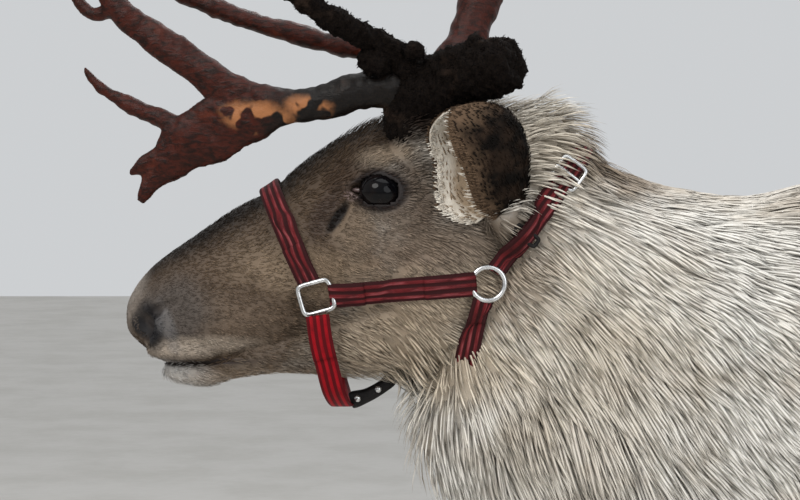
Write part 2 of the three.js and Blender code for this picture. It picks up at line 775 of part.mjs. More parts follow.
const RIGHT_BEZ = [
  [
    [-412, 102, 1290, 13, 12],
    [-446, 112, 1318, 13, 11],
    [-490, 126, 1352, 12, 10],
    [-530, 140, 1392, 14, 8],
    [-556, 150, 1432, 8, 6],
    [-568, 154, 1464, 2, 2],
  ],
  [
    [-524, 138, 1386, 8, 7],
    [-560, 132, 1398, 7, 6],
    [-592, 126, 1420, 2, 2],
  ],
];
const RIGHT_UPPER = [
  [
    [-388, 128, 1345, 14, 13],
    [-370, 158, 1400, 16, 15],
    [-346, 196, 1464, 15, 14],
    [-320, 230, 1532, 15, 14],
    [-296, 256, 1600, 15, 13],
    [-280, 272, 1660, 17, 12],
    [-272, 282, 1716, 21, 10],
  ],
  [
    [-334, 212, 1492, 10, 10],
    [-296, 214, 1512, 9, 9],
    [-262, 210, 1540, 2, 2],
  ],
];
const RIGHT_CROWN = [
  [
    [-274, 280, 1696, 16, 9],
    [-276, 286, 1752, 30, 9],
    [-300, 288, 1800, 32, 8],
    [-344, 284, 1838, 20, 7],
    [-394, 274, 1864, 10, 6],
    [-430, 264, 1886, 2, 2],
  ],
  [
    [-276, 286, 1756, 12, 8],
    [-246, 286, 1806, 10, 7],
    [-236, 282, 1856, 2, 2],
  ],
  [
    [-300, 288, 1800, 14, 8],
    [-300, 286, 1850, 10, 7],
    [-312, 280, 1902, 2, 2],
  ],
  [
    [-350, 284, 1836, 9, 6],
    [-364, 280, 1876, 7, 5],
    [-376, 274, 1908, 2, 2],
  ],
];

const ANTLERS = [
  [
    { name: "left_antler_base", limbs: [LEFT_BASE], knobs: LEFT_KNOBS, finish: "velvet" },
    { name: "left_brow_shovel", limbs: LEFT_BROW, finish: "bone" },
    { name: "left_bez_tine", limbs: LEFT_BEZ, finish: "velvet" },
  ],
  [
    { name: "right_antler_beam", limbs: RIGHT_BEAM, finish: "bone" },
    { name: "right_brow_tine", limbs: RIGHT_BROW, finish: "bone" },
    { name: "right_bez_tine", limbs: RIGHT_BEZ, finish: "bone" },
    { name: "right_antler_upper", limbs: RIGHT_UPPER, finish: "bone" },
    { name: "right_crown", limbs: RIGHT_CROWN, finish: "bone" },
  ],
];

function antlerPart({ limbs, knobs = [] }, grow = 0) {
  const arms = limbs.map((steps) => limb(steps, { sides: 6, rings: 2 * steps.length - 1, grow }));
  const balls = knobs.map(([at, r]) => ellipsoid(at, [r + grow, r + grow, r + grow], 8));
  return union(...arms, ...balls);
}

function addAntlers() {
  ANTLERS.forEach((parts, i) => {
    const [root, out] = i === 0 ? [PEDICLE, PEDICLE_UP] : [mirrored(PEDICLE), mirrored(PEDICLE_UP)];
    let taken = HEAD_CLEARANCE.add(halfSpace(root, out.clone().negate(), -GAP));
    for (const part of parts) {
      addNode(part.name, antlerPart(part).subtract(taken), part.finish);
      taken = taken.add(antlerPart(part, 2 * GAP));
    }
  });
}

// Halter

const RING_HOLD = V(-567, 0, 988); // the square ring at the end of the noseband
const CHEEK_RING = V(-414, 0, 1001); // the round ring behind the cheek
const STRAP_GAP = 1.2;
const [BRIDGE_TOP, POLL_TOP, THROAT_END] = [V(-610, 0, 1083), V(-326, 0, 1120), V(-441, 0, 928)];
const CHIN_DROP = 27; // how far the chin strap hangs below the jaw

// A band of webbing that lies on the head, its middle on the line from a to b seen from the side.
function band(shell, a, b) {
  const across = b.clone().sub(a).cross(V(0, 1, 0)).normalize();
  const half = STRAP_WIDTH / 2;
  return shell
    .subtract(halfSpace(a, across, half))
    .subtract(halfSpace(a, across.clone().negate(), half));
}

// A flat strap that hangs free, through [x, y, z] points, its thickness turned towards outward(point).
function ribbon(points, outward, width = STRAP_WIDTH, thick = STRAP_THICK) {
  const curve = new THREE.CatmullRomCurve3(points);
  const count = 4 * (points.length - 1);
  const corners = [];
  for (let i = 0; i <= count; i += 1) {
    const at = curve.getPoint(i / count);
    const ahead = curve.getTangent(i / count);
    const across = outward(at).cross(ahead).normalize();
    const out = ahead.clone().cross(across).normalize();
    for (const [w, t] of [[1, 1], [-1, 1], [-1, -1], [1, -1]]) {
      const corner = at.clone().addScaledVector(across, (w * width) / 2);
      corners.push(corner.addScaledVector(out, (t * thick) / 2));
    }
  }
  const last = 4 * count;
  const index = [0, 1, 2, 0, 2, 3, last, last + 2, last + 1, last, last + 3, last + 2];
  for (let k = 0; k < count; k += 1) {
    for (let i = 0; i < 4; i += 1) {
      const [p, q] = [4 * k + i, 4 * k + ((i + 1) % 4)];
      index.push(p, p + 4, q, q, p + 4, q + 4);
    }
  }
  const geometry = new THREE.BufferGeometry().setFromPoints(corners);
  geometry.setIndex(index);
  return solid(geometry);
}

// A shape made flat, set down at a point with its face to out and its length along.
function setOn(geometry, point, out, along, lift) {
  const side = out.clone().cross(along).normalize();
  const length = side.clone().cross(out).normalize();
  const turn = new THREE.Matrix4().makeBasis(length, side, out);
  geometry.applyMatrix4(turn);
  const at = point.clone().addScaledVector(out, lift);
  return solid(geometry.translate(at.x, at.y, at.z));
}

const RING_TUBE = 2.4;

function squareRing(width, height, tube = RING_TUBE) {
  const ring = new THREE.TorusGeometry(Math.SQRT2, 0.15, 6, 4).rotateZ(Math.PI / 4);
  return ring.scale(width / 2, height / 2, tube / 0.15);
}

function addHalter() {
  const lining = headAndNeck(STRAP_GAP);
  const shell = headAndNeck(STRAP_GAP + STRAP_THICK).subtract(lining);
  const cheekSide = (part) => part.subtract(halfSpace(V(0, -15, 0), V(0, 1, 0)));
  const onShell = surfaceFinder(headAndNeck(STRAP_GAP + STRAP_THICK));

  const noseband = band(shell, BRIDGE_TOP, RING_HOLD).subtract(below(RING_HOLD.z + 17));
  const stubs = union(seats(STRAP_GAP), mirror(seats(STRAP_GAP)));
  const crown = band(shell, CHEEK_RING, POLL_TOP).subtract(below(CHEEK_RING.z + 15)).subtract(stubs);
  const ends = [V(RING_HOLD.x + 17, 0, 0), V(CHEEK_RING.x - 16, 0, 0)];
  const cheek = cheekSide(band(shell, RING_HOLD, CHEEK_RING))
    .subtract(halfSpace(ends[0], V(-1, 0, 0)))
    .subtract(halfSpace(ends[1], V(1, 0, 0)));
  const throat = cheekSide(band(shell, CHEEK_RING, THROAT_END))
    .subtract(above(CHEEK_RING.z - 16))
    .subtract(below(THROAT_END.z));
  addNode("noseband", noseband, "webbing");
  addNode("crown_strap", crown, "webbing");

  const kept = headAndNeck(STRAP_GAP + STRAP_THICK + 2 * GAP).add(stubs);
  const setRing = (shape, at, along, lift = RING_TUBE) => {
    const { point, out } = onShell(V(at.x, 0, at.z), V(0, -1, 0));
    return setOn(shape, point, out, along, lift).subtract(kept);
  };
  const square = setRing(squareRing(30, 28), RING_HOLD, V(0.9, 0, 0.4));
  const round = setRing(new THREE.TorusGeometry(14, RING_TUBE, 5, 12), CHEEK_RING, V(1, 0, 0), 5);
  const crownAt = (z) => V(CHEEK_RING.x, 0, CHEEK_RING.z).lerp(POLL_TOP, (z - CHEEK_RING.z) / 119);
  const uphill = POLL_TOP.clone().sub(CHEEK_RING);
  const buckle = setRing(squareRing(26, 24), crownAt(1098), uphill);
  const keeper = setRing(squareRing(11, 26), crownAt(1045), uphill, 5);
  for (const { name, sign } of SIDES) {
    addNode(`${name}_cheek_strap`, onSide(cheek, sign), "webbing");
    addNode(`${name}_throat_strap`, onSide(throat, sign), "webbing");
    addNode(`${name}_square_ring`, onSide(square, sign), "steel");
    addNode(`${name}_round_ring`, onSide(round, sign), "steel");
  }
  addNode("crown_buckle", buckle, "steel");
  addNode("crown_keeper", keeper, "steel");

  const jawLow = 912 - CHIN_DROP;
  const down = [V(-566, -66, 968), V(-561, -63, 940), V(-553, -52, 908), V(-547, -32, jawLow + 6)];
  const up = down.map(mirrored).reverse();
  const chin = [...down, V(-544, 0, jawLow), ...up];
  addNode("chin_strap", ribbon(chin, (p) => V(0, p.y, p.z - 960)), "webbing_red");
  const back = [V(-532, 0, jawLow + 2), V(-512, 0, jawLow + 8), V(-490, 0, jawLow + 15)];
  addNode("jaw_strap", ribbon(back, () => V(0, 0, -1), 16), "leather");
}

addBody();
LEGS.forEach(addLeg);
for (const { name, sign } of SIDES) {
  addNode(`${name}_eye`, onSide(ellipsoid(EYE, [EYE_RADIUS, EYE_RADIUS, EYE_RADIUS], 12), sign), "eye");
  addNode(`${name}_ear`, onSide(ear(), sign), "ear");
}
addAntlers();
addHalter();

const box = new THREE.Box3().setFromObject(animal);
const middle = box.getCenter(V(0, 0, 0));
animal.position.set(-middle.x, -middle.y, -box.min.z);

export default reindeer;
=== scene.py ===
"""A life-size reindeer bull in winter coat with a halter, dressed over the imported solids.

Shapes are given in the design frame of the solids, in millimetres: X from the nose to the tail,
Y to the animal's right, Z up. place() turns them into the row's frame, in metres.
"""

import math

import bmesh
import bpy
import numpy as np
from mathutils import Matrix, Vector
from mathutils.bvhtree import BVHTree
from mathutils.kdtree import KDTree


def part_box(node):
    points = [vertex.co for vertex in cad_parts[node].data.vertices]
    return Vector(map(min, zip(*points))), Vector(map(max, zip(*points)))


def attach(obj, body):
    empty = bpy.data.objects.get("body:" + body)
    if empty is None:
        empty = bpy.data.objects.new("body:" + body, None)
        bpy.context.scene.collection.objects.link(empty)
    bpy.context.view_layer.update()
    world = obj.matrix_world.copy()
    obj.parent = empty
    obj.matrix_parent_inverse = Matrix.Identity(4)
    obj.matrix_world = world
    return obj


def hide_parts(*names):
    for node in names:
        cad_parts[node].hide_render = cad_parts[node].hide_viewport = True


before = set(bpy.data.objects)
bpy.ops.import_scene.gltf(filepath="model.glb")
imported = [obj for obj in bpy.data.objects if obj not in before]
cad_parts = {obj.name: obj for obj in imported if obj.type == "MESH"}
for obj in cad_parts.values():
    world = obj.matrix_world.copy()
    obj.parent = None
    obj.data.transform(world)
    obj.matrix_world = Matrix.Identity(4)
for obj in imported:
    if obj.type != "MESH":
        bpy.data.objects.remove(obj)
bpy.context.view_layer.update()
RNG = np.random.default_rng(7)

# Driving dimensions of the solids, in millimetres
NOSE_X = -745
MOUTH_Z = 927
EYE = np.array([-510.0, -62.0, 1083.0])
EYE_AIM = np.array([-0.22, -0.97, 0.08])
EAR_ROOT = np.array([-399.0, -80.0, 1067.0])
EAR_UP = np.array([-0.44, -0.38, 0.81])
EAR_LENGTH = 110
PEDICLE = np.array([-474.0, -46.0, 1150.0])
RING_HOLD = np.array([-567.0, 0.0, 988.0])
CHEEK_RING = np.array([-414.0, 0.0, 1001.0])
BRIDGE_TOP = np.array([-610.0, 0.0, 1083.0])
POLL_TOP = np.array([-326.0, 0.0, 1120.0])
STRAP_WIDTH = 21.0

EYE_BOX = np.array([list(corner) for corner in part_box("left_eye")]) * 1000
SHIFT = EYE_BOX.mean(axis=0) - EYE
SHIFT[2] = round(SHIFT[2], 1)

# Depth of the coat, from the solids' surface to the skin
HEAD_COAT = 3.0
NECK_COAT = 10.0
TRUNK_COAT = 17.0
LEG_COAT = 4.0

# Fineness of the remeshed forms, in millimetres
FINE_VOXEL = 2.3
TRUNK_VOXEL = 7.0


def unit(v):
    """The vectors, made one long."""
    v = np.asarray(v, float)
    return v / np.maximum(np.linalg.norm(v, axis=-1, keepdims=True), 1e-9)


def place(points):
    """Design millimetres to the row's metres."""
    return (np.asarray(points, float) + SHIFT) / 1000


def flip(points):
    """The mirror image on the animal's other side."""
    return np.asarray(points, float) * np.array([1, -1, 1])


def one_side(points):
    """The points folded onto one side, where Y is over 0."""
    return np.stack([points[:, 0], np.abs(points[:, 1]), points[:, 2]], axis=1)


def eased(share):
    """0 to 1 with a gentle start and end."""
    return share * share * (3 - 2 * share)


# Lofts, as in the solids


def cubic(xs, ys, at):
    """A smooth curve through (xs, ys), one column of ys for each value."""
    xs, ys = np.asarray(xs, float), np.asarray(ys, float)
    last = len(xs) - 1
    low = np.maximum(np.arange(last + 1) - 1, 0)
    high = np.minimum(np.arange(last + 1) + 1, last)
    slope = (ys[high] - ys[low]) / (xs[high] - xs[low])[:, None]
    i = np.clip(np.searchsorted(xs, at) - 1, 0, last - 1)
    h = (xs[i + 1] - xs[i])[:, None]
    t = (np.asarray(at) - xs[i])[:, None] / h
    t2, t3 = t * t, t * t * t
    start = (2 * t3 - 3 * t2 + 1) * ys[i] + (t3 - 2 * t2 + t) * h * slope[i]
    end = (3 * t2 - 2 * t3) * ys[i + 1] + (t3 - t2) * h * slope[i + 1]
    return start + end


def along(fields, count):
    """count rows of fields, spread evenly over a list of stations."""
    fields = np.asarray(fields, float)
    steps = np.linalg.norm(np.diff(fields, axis=0), axis=1)
    distance = np.concatenate([[0], np.cumsum(steps)])
    return cubic(distance, fields, np.linspace(0, distance[-1], count))


def tube_faces(rings, sides):
    """Quads between rings of points, and a cap on each end."""
    i, j = np.meshgrid(np.arange(rings - 1), np.arange(sides), indexing="ij")
    a, b = i * sides + j, i * sides + (j + 1) % sides
    quads = np.stack([a, b, b + sides, a + sides], axis=-1).reshape(-1, 4).tolist()
    first = list(range(sides))[::-1]
    last = [(rings - 1) * sides + k for k in range(sides)]
    return quads + [first, last]


def body(x, top, bottom, half, wide=None, n_top=2.0, n_bottom=2.0):
    """A station of the body: heights, half width, height of the widest place and squareness."""
    wide = (top + bottom) / 2 if wide is None else wide
    return [x, top, bottom, half, wide, n_top, n_bottom]


def body_loft(stations, grow, rings, sides):
    """Upright outlines across the body, their surface moved outwards by grow."""
    moved = []
    for k, (x, top, bottom, half, wide, n_top, n_bottom) in enumerate(stations):
        if half == 0:
            moved.append([x - grow if k == 0 else x + grow, top, bottom, half, wide, n_top, n_bottom])
        else:
            moved.append([x, top + grow, bottom - grow, half + grow, wide, n_top, n_bottom])
    x, top, bottom, half, wide, n_top, n_bottom = along(moved, rings).T[:, :, None]
    angle = 2 * np.pi * np.arange(sides) / sides
    c, s = np.cos(angle), np.sin(angle)
    power = 2 / np.where(s > 0, n_top, n_bottom)
    y = np.maximum(half, 0.05) * np.sign(c) * np.abs(c) ** power
    z = wide + np.where(s > 0, top - wide, bottom - wide) * np.abs(s) ** power
    points = np.stack([x + 0 * y, y, z], axis=-1)
    return points.reshape(-1, 3), tube_faces(rings, sides)


def leg(z, x, front, back, side, y=0.0):
    """A station of a leg: its middle, and its reach to the front, back and sides."""
    return [z, x, y, front, back, side]


def leg_loft(stations, grow, rings, sides):
    """Level outlines across a leg."""
    ends = [[*stations[0][:3], 0, 0, 0], [*stations[-1][:3], 0, 0, 0]]
    moved = [[*s[:3], s[3] + grow, s[4] + grow, s[5] + grow] for s in stations]
    z, x, y, front, back, side = along([ends[0], *moved, ends[1]], rings).T[:, :, None]
    angle = 2 * np.pi * np.arange(sides) / sides
    c = np.cos(angle)
    reach = np.maximum(np.where(c < 0, front, back), 0.05)
    points = np.stack([x + reach * c, y + np.maximum(side, 0.05) * np.sin(angle), z + 0 * c], axis=-1)
    return points.reshape(-1, 3), tube_faces(rings, sides)


def limb(steps, grow=0.0, sides=18, thin=(0, 1, 0), rings=None):
    """A tapered limb: each step is [x, y, z, half width, half thickness]."""
    steps = [[x, y, z, w + grow, t + grow] for x, y, z, w, t in steps]
    ends = [[*steps[0][:3], 0, 0], [*steps[-1][:3], 0, 0]]
    rings = rings or 8 * len(steps)
    rows = along([ends[0], *steps, ends[1]], rings)
    tangent = unit(np.gradient(rows[:, :3], axis=0) + 1e-6)
    spread = max(1, rings // 20)
    kernel = np.ones(2 * spread + 1) / (2 * spread + 1)
    for k in range(3):
        padded = np.pad(tangent[:, k], spread, mode="edge")
        tangent[:, k] = np.convolve(padded, kernel, "valid")
    wide = unit(np.cross(tangent, np.array(thin, float)))
    flat = unit(np.cross(wide, tangent))
    angle = 2 * np.pi * np.arange(sides) / sides
    w, t = np.maximum(rows[:, 3], 0.05), np.maximum(rows[:, 4], 0.05)
    points = (
        rows[:, None, :3]
        + wide[:, None] * (w[:, None] * np.cos(angle))[..., None]
        + flat[:, None] * (t[:, None] * np.sin(angle))[..., None]
    )
    return points.reshape(-1, 3), tube_faces(rings, sides)


def ball(centre, radii, tilt=(0, 0, 0), across=24):
    """An ellipsoid, turned about X, then Y, then Z."""
    rings = across // 2 + 1
    polar = np.pi * np.arange(rings) / (rings - 1)
    angle = 2 * np.pi * np.arange(across) / across
    ring = np.maximum(np.sin(polar), 1e-3)[:, None]
    parts = [ring * np.cos(angle), ring * np.sin(angle), np.cos(polar)[:, None] + 0 * angle]
    points = np.stack(parts, axis=-1).reshape(-1, 3) * radii
    ax, ay, az = tilt
    turn_x = np.array([[1, 0, 0], [0, math.cos(ax), -math.sin(ax)], [0, math.sin(ax), math.cos(ax)]])
    turn_y = np.array([[math.cos(ay), 0, math.sin(ay)], [0, 1, 0], [-math.sin(ay), 0, math.cos(ay)]])
    turn_z = np.array([[math.cos(az), -math.sin(az), 0], [math.sin(az), math.cos(az), 0], [0, 0, 1]])
    return points @ (turn_z @ turn_y @ turn_x).T + centre, tube_faces(rings, across)


def shell_faces(rows, columns):
    """Faces of a closed sheet: a grid of points, the grid on its other side, and the edge."""
    n = rows * columns
    faces = []
    for i in range(rows - 1):
        for j in range(columns - 1):
            a = i * columns + j
            faces.append([a, a + 1, a + columns + 1, a + columns])
            faces.append([n + a, n + a + columns, n + a + columns + 1, n + a + 1])
    ring = list(range(columns)) + [i * columns + columns - 1 for i in range(1, rows)]
    ring += [(rows - 1) * columns + j for j in range(columns - 2, -1, -1)]
    ring += [i * columns for i in range(rows - 2, 0, -1)]
    return faces + [[a, n + a, n + b, b] for a, b in zip(ring, ring[1:] + ring[:1])]


def both(form):
    """A form and its mirror image."""
    points, faces = form
    return [form, (flip(points), [f[::-1] for f in faces])]


def joined(forms):
    """One list of points and faces for all the forms."""
    points, faces, base = [], [], 0
    for p, f in forms:
        points.append(p)
        faces += [[base + k for k in face] for face in f]
        base += len(p)
    return np.concatenate(points), faces


# Blender objects


def in_scene(name, data):
    """An object for the data, in the scene."""
    piece = bpy.data.objects.new(name, data)
    bpy.context.scene.collection.objects.link(piece)
    return piece


def new_object(name, points, faces):
    """An object from design points, in the scene."""
    mesh = bpy.data.meshes.new(name)
    mesh.from_pydata(place(points).tolist(), [], faces)
    mesh.validate()
    return in_scene(name, mesh)


def bake_modifiers(piece):
    """The piece's mesh as its modifiers leave it."""
    graph = bpy.context.evaluated_depsgraph_get()
    mesh = bpy.data.meshes.new_from_object(piece.evaluated_get(graph))
    old = piece.data
    piece.modifiers.clear()
    piece.data = mesh
    mesh.name = piece.name
    bpy.data.meshes.remove(old)
    return piece


def remeshed(name, forms, voxel, smooth):
    """One closed skin round the forms, smoothed a number of times."""
    piece = new_object(name, *joined(forms))
    remesh = piece.modifiers.new("remesh", "REMESH")
    remesh.mode = "VOXEL"
    remesh.voxel_size = voxel / 1000
    remesh.use_smooth_shade = True
    soft = piece.modifiers.new("smooth", "SMOOTH")
    soft.factor = 0.5
    soft.iterations = smooth
    return bake_modifiers(piece)


def vertices_of(mesh):
    """Vertex positions in design millimetres, and normals."""
    n = len(mesh.vertices)
    co, normal = np.empty(n * 3), np.empty(n * 3)
    mesh.vertices.foreach_get("co", co)
    mesh.vertices.foreach_get("normal", normal)
    return co.reshape(-1, 3) * 1000 - SHIFT, normal.reshape(-1, 3)


def set_vertices(mesh, points):
    mesh.vertices.foreach_set("co", place(points).astype(np.float32).ravel())
    mesh.update()


def set_layer(mesh, label, values):
    """A number for each vertex, for the materials to read."""
    layer = mesh.attributes.new(label, "FLOAT", "POINT")
    layer.data.foreach_set("value", np.asarray(values, np.float32))


def smooth_shading(piece):
    piece.data.polygons.foreach_set("use_smooth", [True] * len(piece.data.polygons))


def turn_out(piece):
    """Makes all the piece's faces look outwards."""
    work = bmesh.new()
    work.from_mesh(piece.data)
    bmesh.ops.recalc_face_normals(work, faces=work.faces)
    work.to_mesh(piece.data)
    work.free()


def finish_piece(piece, slot, material, *nodes):
    """Puts the piece on the body with its material, and hides the parts that it stands for."""
    piece.data.materials.clear()
    piece.data.materials.append(material)
    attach(piece, "root")
    if nodes:
        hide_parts(*nodes)


# Flesh stations, as in the solids


def head(u, *rest):
    return body(NOSE_X + u, *rest)


SKULL = [
    head(0, 966, 966, 0, 966),
    head(4, 984, 950, 24, 966),
    head(15, 1003, 938, 37, 966),
    head(32, 1020, 928, 45, 966, 2.2, 2.4),
    head(62, 1041, 926, 50, 970, 2.1, 2.6),
    head(100, 1067, 927, 52, 978, 2, 2.5),
    head(135, 1086, 930, 54, 990, 2, 2.3),
    head(170, 1114, 935, 61, 1010, 2, 2.2),
    head(205, 1136, 940, 69, 1035, 2.1, 2.1),
    head(245, 1150, 945, 74, 1050, 2.3, 2),
    head(295, 1156, 950, 75, 1055, 2.3, 2),
    head(345, 1158, 960, 74, 1060, 2.2, 2),
    head(400, 1150, 970, 70, 1060),
    head(430, 1060, 1060, 0, 1060),
]
JAW = [
    head(33, 916, 916, 0, 916),
    head(38, 925, 909, 19, 917),
    head(50, 931, 904, 29, 917, 2, 2.2),
    head(76, 936, 901, 33, 918, 2, 2.2),
    head(102, 945, 908, 35, 925),
    head(140, 960, 913, 40, 935),
    head(185, 980, 912, 48, 945),
    head(235, 1000, 912, 56, 955),
    head(285, 1010, 920, 60, 965),
    head(330, 1000, 950, 50, 975),
    head(345, 975, 975, 0, 975),
]
NECK = [
    body(-480, 872, 872, 0, 872),
    body(-472, 905, 838, 26, 872),
    body(-452, 1000, 812, 50, 905),
    body(-415, 1120, 795, 70, 960),
    body(-375, 1166, 780, 84, 990),
    body(-345, 1158, 770, 90, 990),
    body(-300, 1112, 755, 102, 960),
    body(-250, 1092, 735, 116, 925),
    body(-188, 1082, 700, 136, 890),
    body(-124, 1090, 665, 160, 870),
    body(-60, 1100, 650, 175, 860),
    body(20, 860, 860, 0, 860),
]
TORSO = [
    body(-235, 850, 850, 0, 850),
    body(-225, 960, 740, 70, 850),
    body(-180, 1040, 660, 125, 850),
    body(-100, 1088, 612, 165, 850),
    body(0, 1112, 588, 188, 850),
    body(150, 1098, 576, 208, 820),
    body(320, 1088, 562, 220),
    body(480, 1086, 585, 216),
    body(620, 1092, 640, 202, 860),
    body(740, 1072, 690, 184, 880),
    body(830, 1025, 740, 145),
    body(880, 960, 800, 85),
    body(896, 880, 880, 0, 880),
]
SHOULDER = ((10, -122, 800), (120, 62, 205))
HAUNCH = ((738, -110, 830), (148, 72, 195))
TAIL = [[846, 0, 1000, 26, 20], [880, 0, 992, 28, 18], [900, 0, 960, 26, 13], [906, 0, 925, 16, 8]]
FORELEG = [
    leg(760, 20, 60, 60, 30, 118),
    leg(740, 20, 75, 75, 50, 118),
    leg(640, 30, 68, 78, 52, 118),
    leg(560, 25, 52, 58, 44, 112),
    leg(470, 15, 40, 44, 36, 105),
    leg(390, 8, 33, 33, 33, 101),
    leg(355, 6, 33, 31, 34, 100),
    leg(320, 6, 27, 27, 27, 100),
    leg(240, 6, 22, 24, 22, 100),
    leg(170, 8, 22, 25, 23, 100),
    leg(130, 8, 25, 31, 27, 100),
    leg(95, 0, 24, 26, 25, 100),
    leg(50, -14, 27, 26, 30, 100),
    leg(30, -18, 20, 20, 22, 100),
]
HINDLEG = [
    leg(820, 730, 110, 110, 50, 112),
    leg(790, 730, 130, 130, 68, 115),
    leg(700, 735, 120, 120, 75, 120),
    leg(620, 755, 95, 95, 62, 118),
    leg(540, 800, 62, 62, 46, 112),
    leg(480, 835, 42, 48, 36, 108),
    leg(440, 848, 36, 46, 34, 106),
    leg(400, 848, 32, 38, 30, 105),
    leg(350, 846, 26, 28, 25, 104),
    leg(250, 842, 24, 25, 23, 104),
    leg(170, 838, 24, 26, 24, 104),
    leg(130, 834, 26, 33, 28, 104),
    leg(95, 824, 25, 27, 26, 104),
    leg(50, 808, 28, 27, 31, 104),
    leg(30, 804, 21, 20, 22, 104),
]
HOOF = [
    leg(0, -5, 56, 40, 50),
    leg(8, -4.6, 53, 39.5, 48.6),
    leg(20, -3, 48, 38, 46),
    leg(40, 0, 38, 35, 40),
    leg(54, 2.5, 31, 32, 35),
    leg(60, 3.4, 24, 26, 27),
]
HOOF_CLEFT = 5.0
HOOF_TOP = 62
# The claws behind each hoof: back from it, beside its middle, and up
CLAW_BACK, CLAW_BESIDE, CLAW_Z = 34, 15, 78
CLAW_RADII = (12, 9, 19)
SIDES = (("left", -1), ("right", 1))
LEGS = [
    (side + kind, [[s[0], s[1] + shift * sign, s[2] * sign, *s[3:]] for s in stations])
    for side, sign in SIDES
    for kind, stations, shift in (("_foreleg", FORELEG, 22), ("_hindleg", HINDLEG, -30))
]


# The skin


def head_forms():
    """The head inside its coat, with the lumps that the solids have."""
    g = -HEAD_COAT
    # Brow, cheek, the ridge before the eye, nostril and lip, then the roots of antler and ear
    lumps = [
        ball((-506, -50, 1106), (34 + g, 24 + g, 15 + g), (0.5, -0.15, 0)),
        ball((-452, -40, 1010), (76 + g, 36 + g, 58 + g)),
        ball((-560, -42, 1040), (48 + g, 15 + g, 14 + g), (0, 0.35, 0)),
        ball((-712, -38, 962), (8, 8, 21), (0, 0.45, 0)),
        ball((-690, -28, 937), (34, 19, 9.5)),
        limb(
            [
                [PEDICLE[0] + 4, PEDICLE[1] + 8, PEDICLE[2] - 45, 31, 29],
                [PEDICLE[0], PEDICLE[1], PEDICLE[2] + 6, 25, 25],
            ],
            thin=(1, 0, 0),
        ),
        limb(
            [
                [*(EAR_ROOT - 30 * unit(EAR_UP) + [0, 12, 0]), 17, 15],
                [*(EAR_ROOT + 6 * unit(EAR_UP)), 19, 16],
            ],
            thin=(1, 0, 0),
        ),
    ]
    forms = [
        body_loft(SKULL, g, 120, 72),
        body_loft(JAW, g + 1, 80, 48),
        body_loft(NECK, -NECK_COAT, 60, 60),
    ]
    for form in lumps:
        forms += both(form)
    return forms


def trunk_forms():
    """Trunk, neck, tail and legs inside their coat, with the claws behind the hooves."""
    forms = [
        body_loft(TORSO, -TRUNK_COAT, 90, 72),
        body_loft(NECK, -NECK_COAT, 60, 60),
        *both(ball(*SHOULDER)),
        *both(ball(*HAUNCH)),
        limb(TAIL, thin=(1, 0, 0.4)),
    ]
    for _, stations in LEGS:
        forms.append(leg_loft(stations, -LEG_COAT, 110, 28))
    for _, stations in LEGS:
        foot = stations[-2]
        for side in (-1, 1):
            claw = (foot[1] + CLAW_BACK, foot[2] + side * CLAW_BESIDE, CLAW_Z)
            forms.append(ball(claw, CLAW_RADII, (0, -0.5, 0)))
    return forms


# In radii of a dent's ellipsoid: where it begins, and where it has its full depth
DENT_EDGE, DENT_FLOOR = 1.6, 0.55


def dent(points, normals, centre, radii, depth, tilt):
    """Pushes the skin in by depth over an ellipsoid, tilted about Y."""
    local = points - centre
    c, s = math.cos(tilt), math.sin(tilt)
    x = c * local[:, 0] - s * local[:, 2]
    z = s * local[:, 0] + c * local[:, 2]
    far = np.sqrt((x / radii[0]) ** 2 + (local[:, 1] / radii[1]) ** 2 + (z / radii[2]) ** 2)
    share = eased(np.clip((DENT_EDGE - far) / (DENT_EDGE - DENT_FLOOR), 0, 1))
    return points - normals * (depth * share)[:, None]


def eye_frame(sign):
    """The middle of an eye, and its axes: backwards along the lids, up, and out."""
    mirror = np.array([1, -sign, 1])
    centre = EYE * mirror
    aim = unit(EYE_AIM * mirror)
    back = unit(np.array([1.0, 0, -0.1]) - aim * np.dot([1.0, 0, -0.1], aim))
    up = np.cross(back, aim) * (1 if np.cross(back, aim)[2] > 0 else -1)
    return centre, back, up, aim


EYE_RADII = (19.0, 16.6, 17.5)
LID_BACK, LID_FRONT, LID_UP, LID_DOWN = 18.5, 27.0, 13.6, 12.6
LID_THICK = 1.6
SOCKET = -3.0


def lid_share(a, b):
    """How far a point is from the middle of the opening: 1 on the lids' edge."""
    reach_a = np.where(a > 0, LID_BACK, LID_FRONT)
    narrowing = np.clip(1 - 0.55 * (np.minimum(a, 0) / LID_FRONT) ** 2, 0.1, 1)
    reach_b = np.where(b > 0, LID_UP, LID_DOWN) * narrowing
    return np.sqrt((a / reach_a) ** 2 + (b / reach_b) ** 2)


def sculpt_eye(points, sign):
    """Opens the skin over the eyeball and lays the lids on it."""
    centre, back, up, aim = eye_frame(sign)
    local = points - centre
    a, b, c = local @ back, local @ up, local @ aim
    near = (np.abs(a) < 60) & (np.abs(b) < 50) & (c > -5) & (c < 45)
    share = lid_share(a, b)
    over = 1 - (a / EYE_RADII[0]) ** 2 - (b / EYE_RADII[1]) ** 2
    globe = EYE_RADII[2] * np.sqrt(np.clip(over, 0.12, 1))
    lid = globe + LID_THICK + 1.2 * np.exp(-(((share - 1.12) / 0.1) ** 2))
    lid -= 2.2 * np.exp(-(((share - 1.42) / 0.1) ** 2))
    blend = eased(np.clip((share - 1.25) / 0.75, 0, 1))
    target = np.where(share < 1.0, SOCKET, lid * (1 - blend) + c * blend)
    moved = np.where(near & (share < 2.0), target, c)
    return points + np.outer(moved - c, aim)


MOUTH = [
    (NOSE_X + 110, 36, MOUTH_Z + 12),
    (NOSE_X + 96, 35, MOUTH_Z + 3),
    (NOSE_X + 78, 33, MOUTH_Z - 1),
    (NOSE_X + 56, 29, MOUTH_Z - 1),
    (NOSE_X + 42, 20, MOUTH_Z),
    (NOSE_X + 36, 0, MOUTH_Z + 1),
]


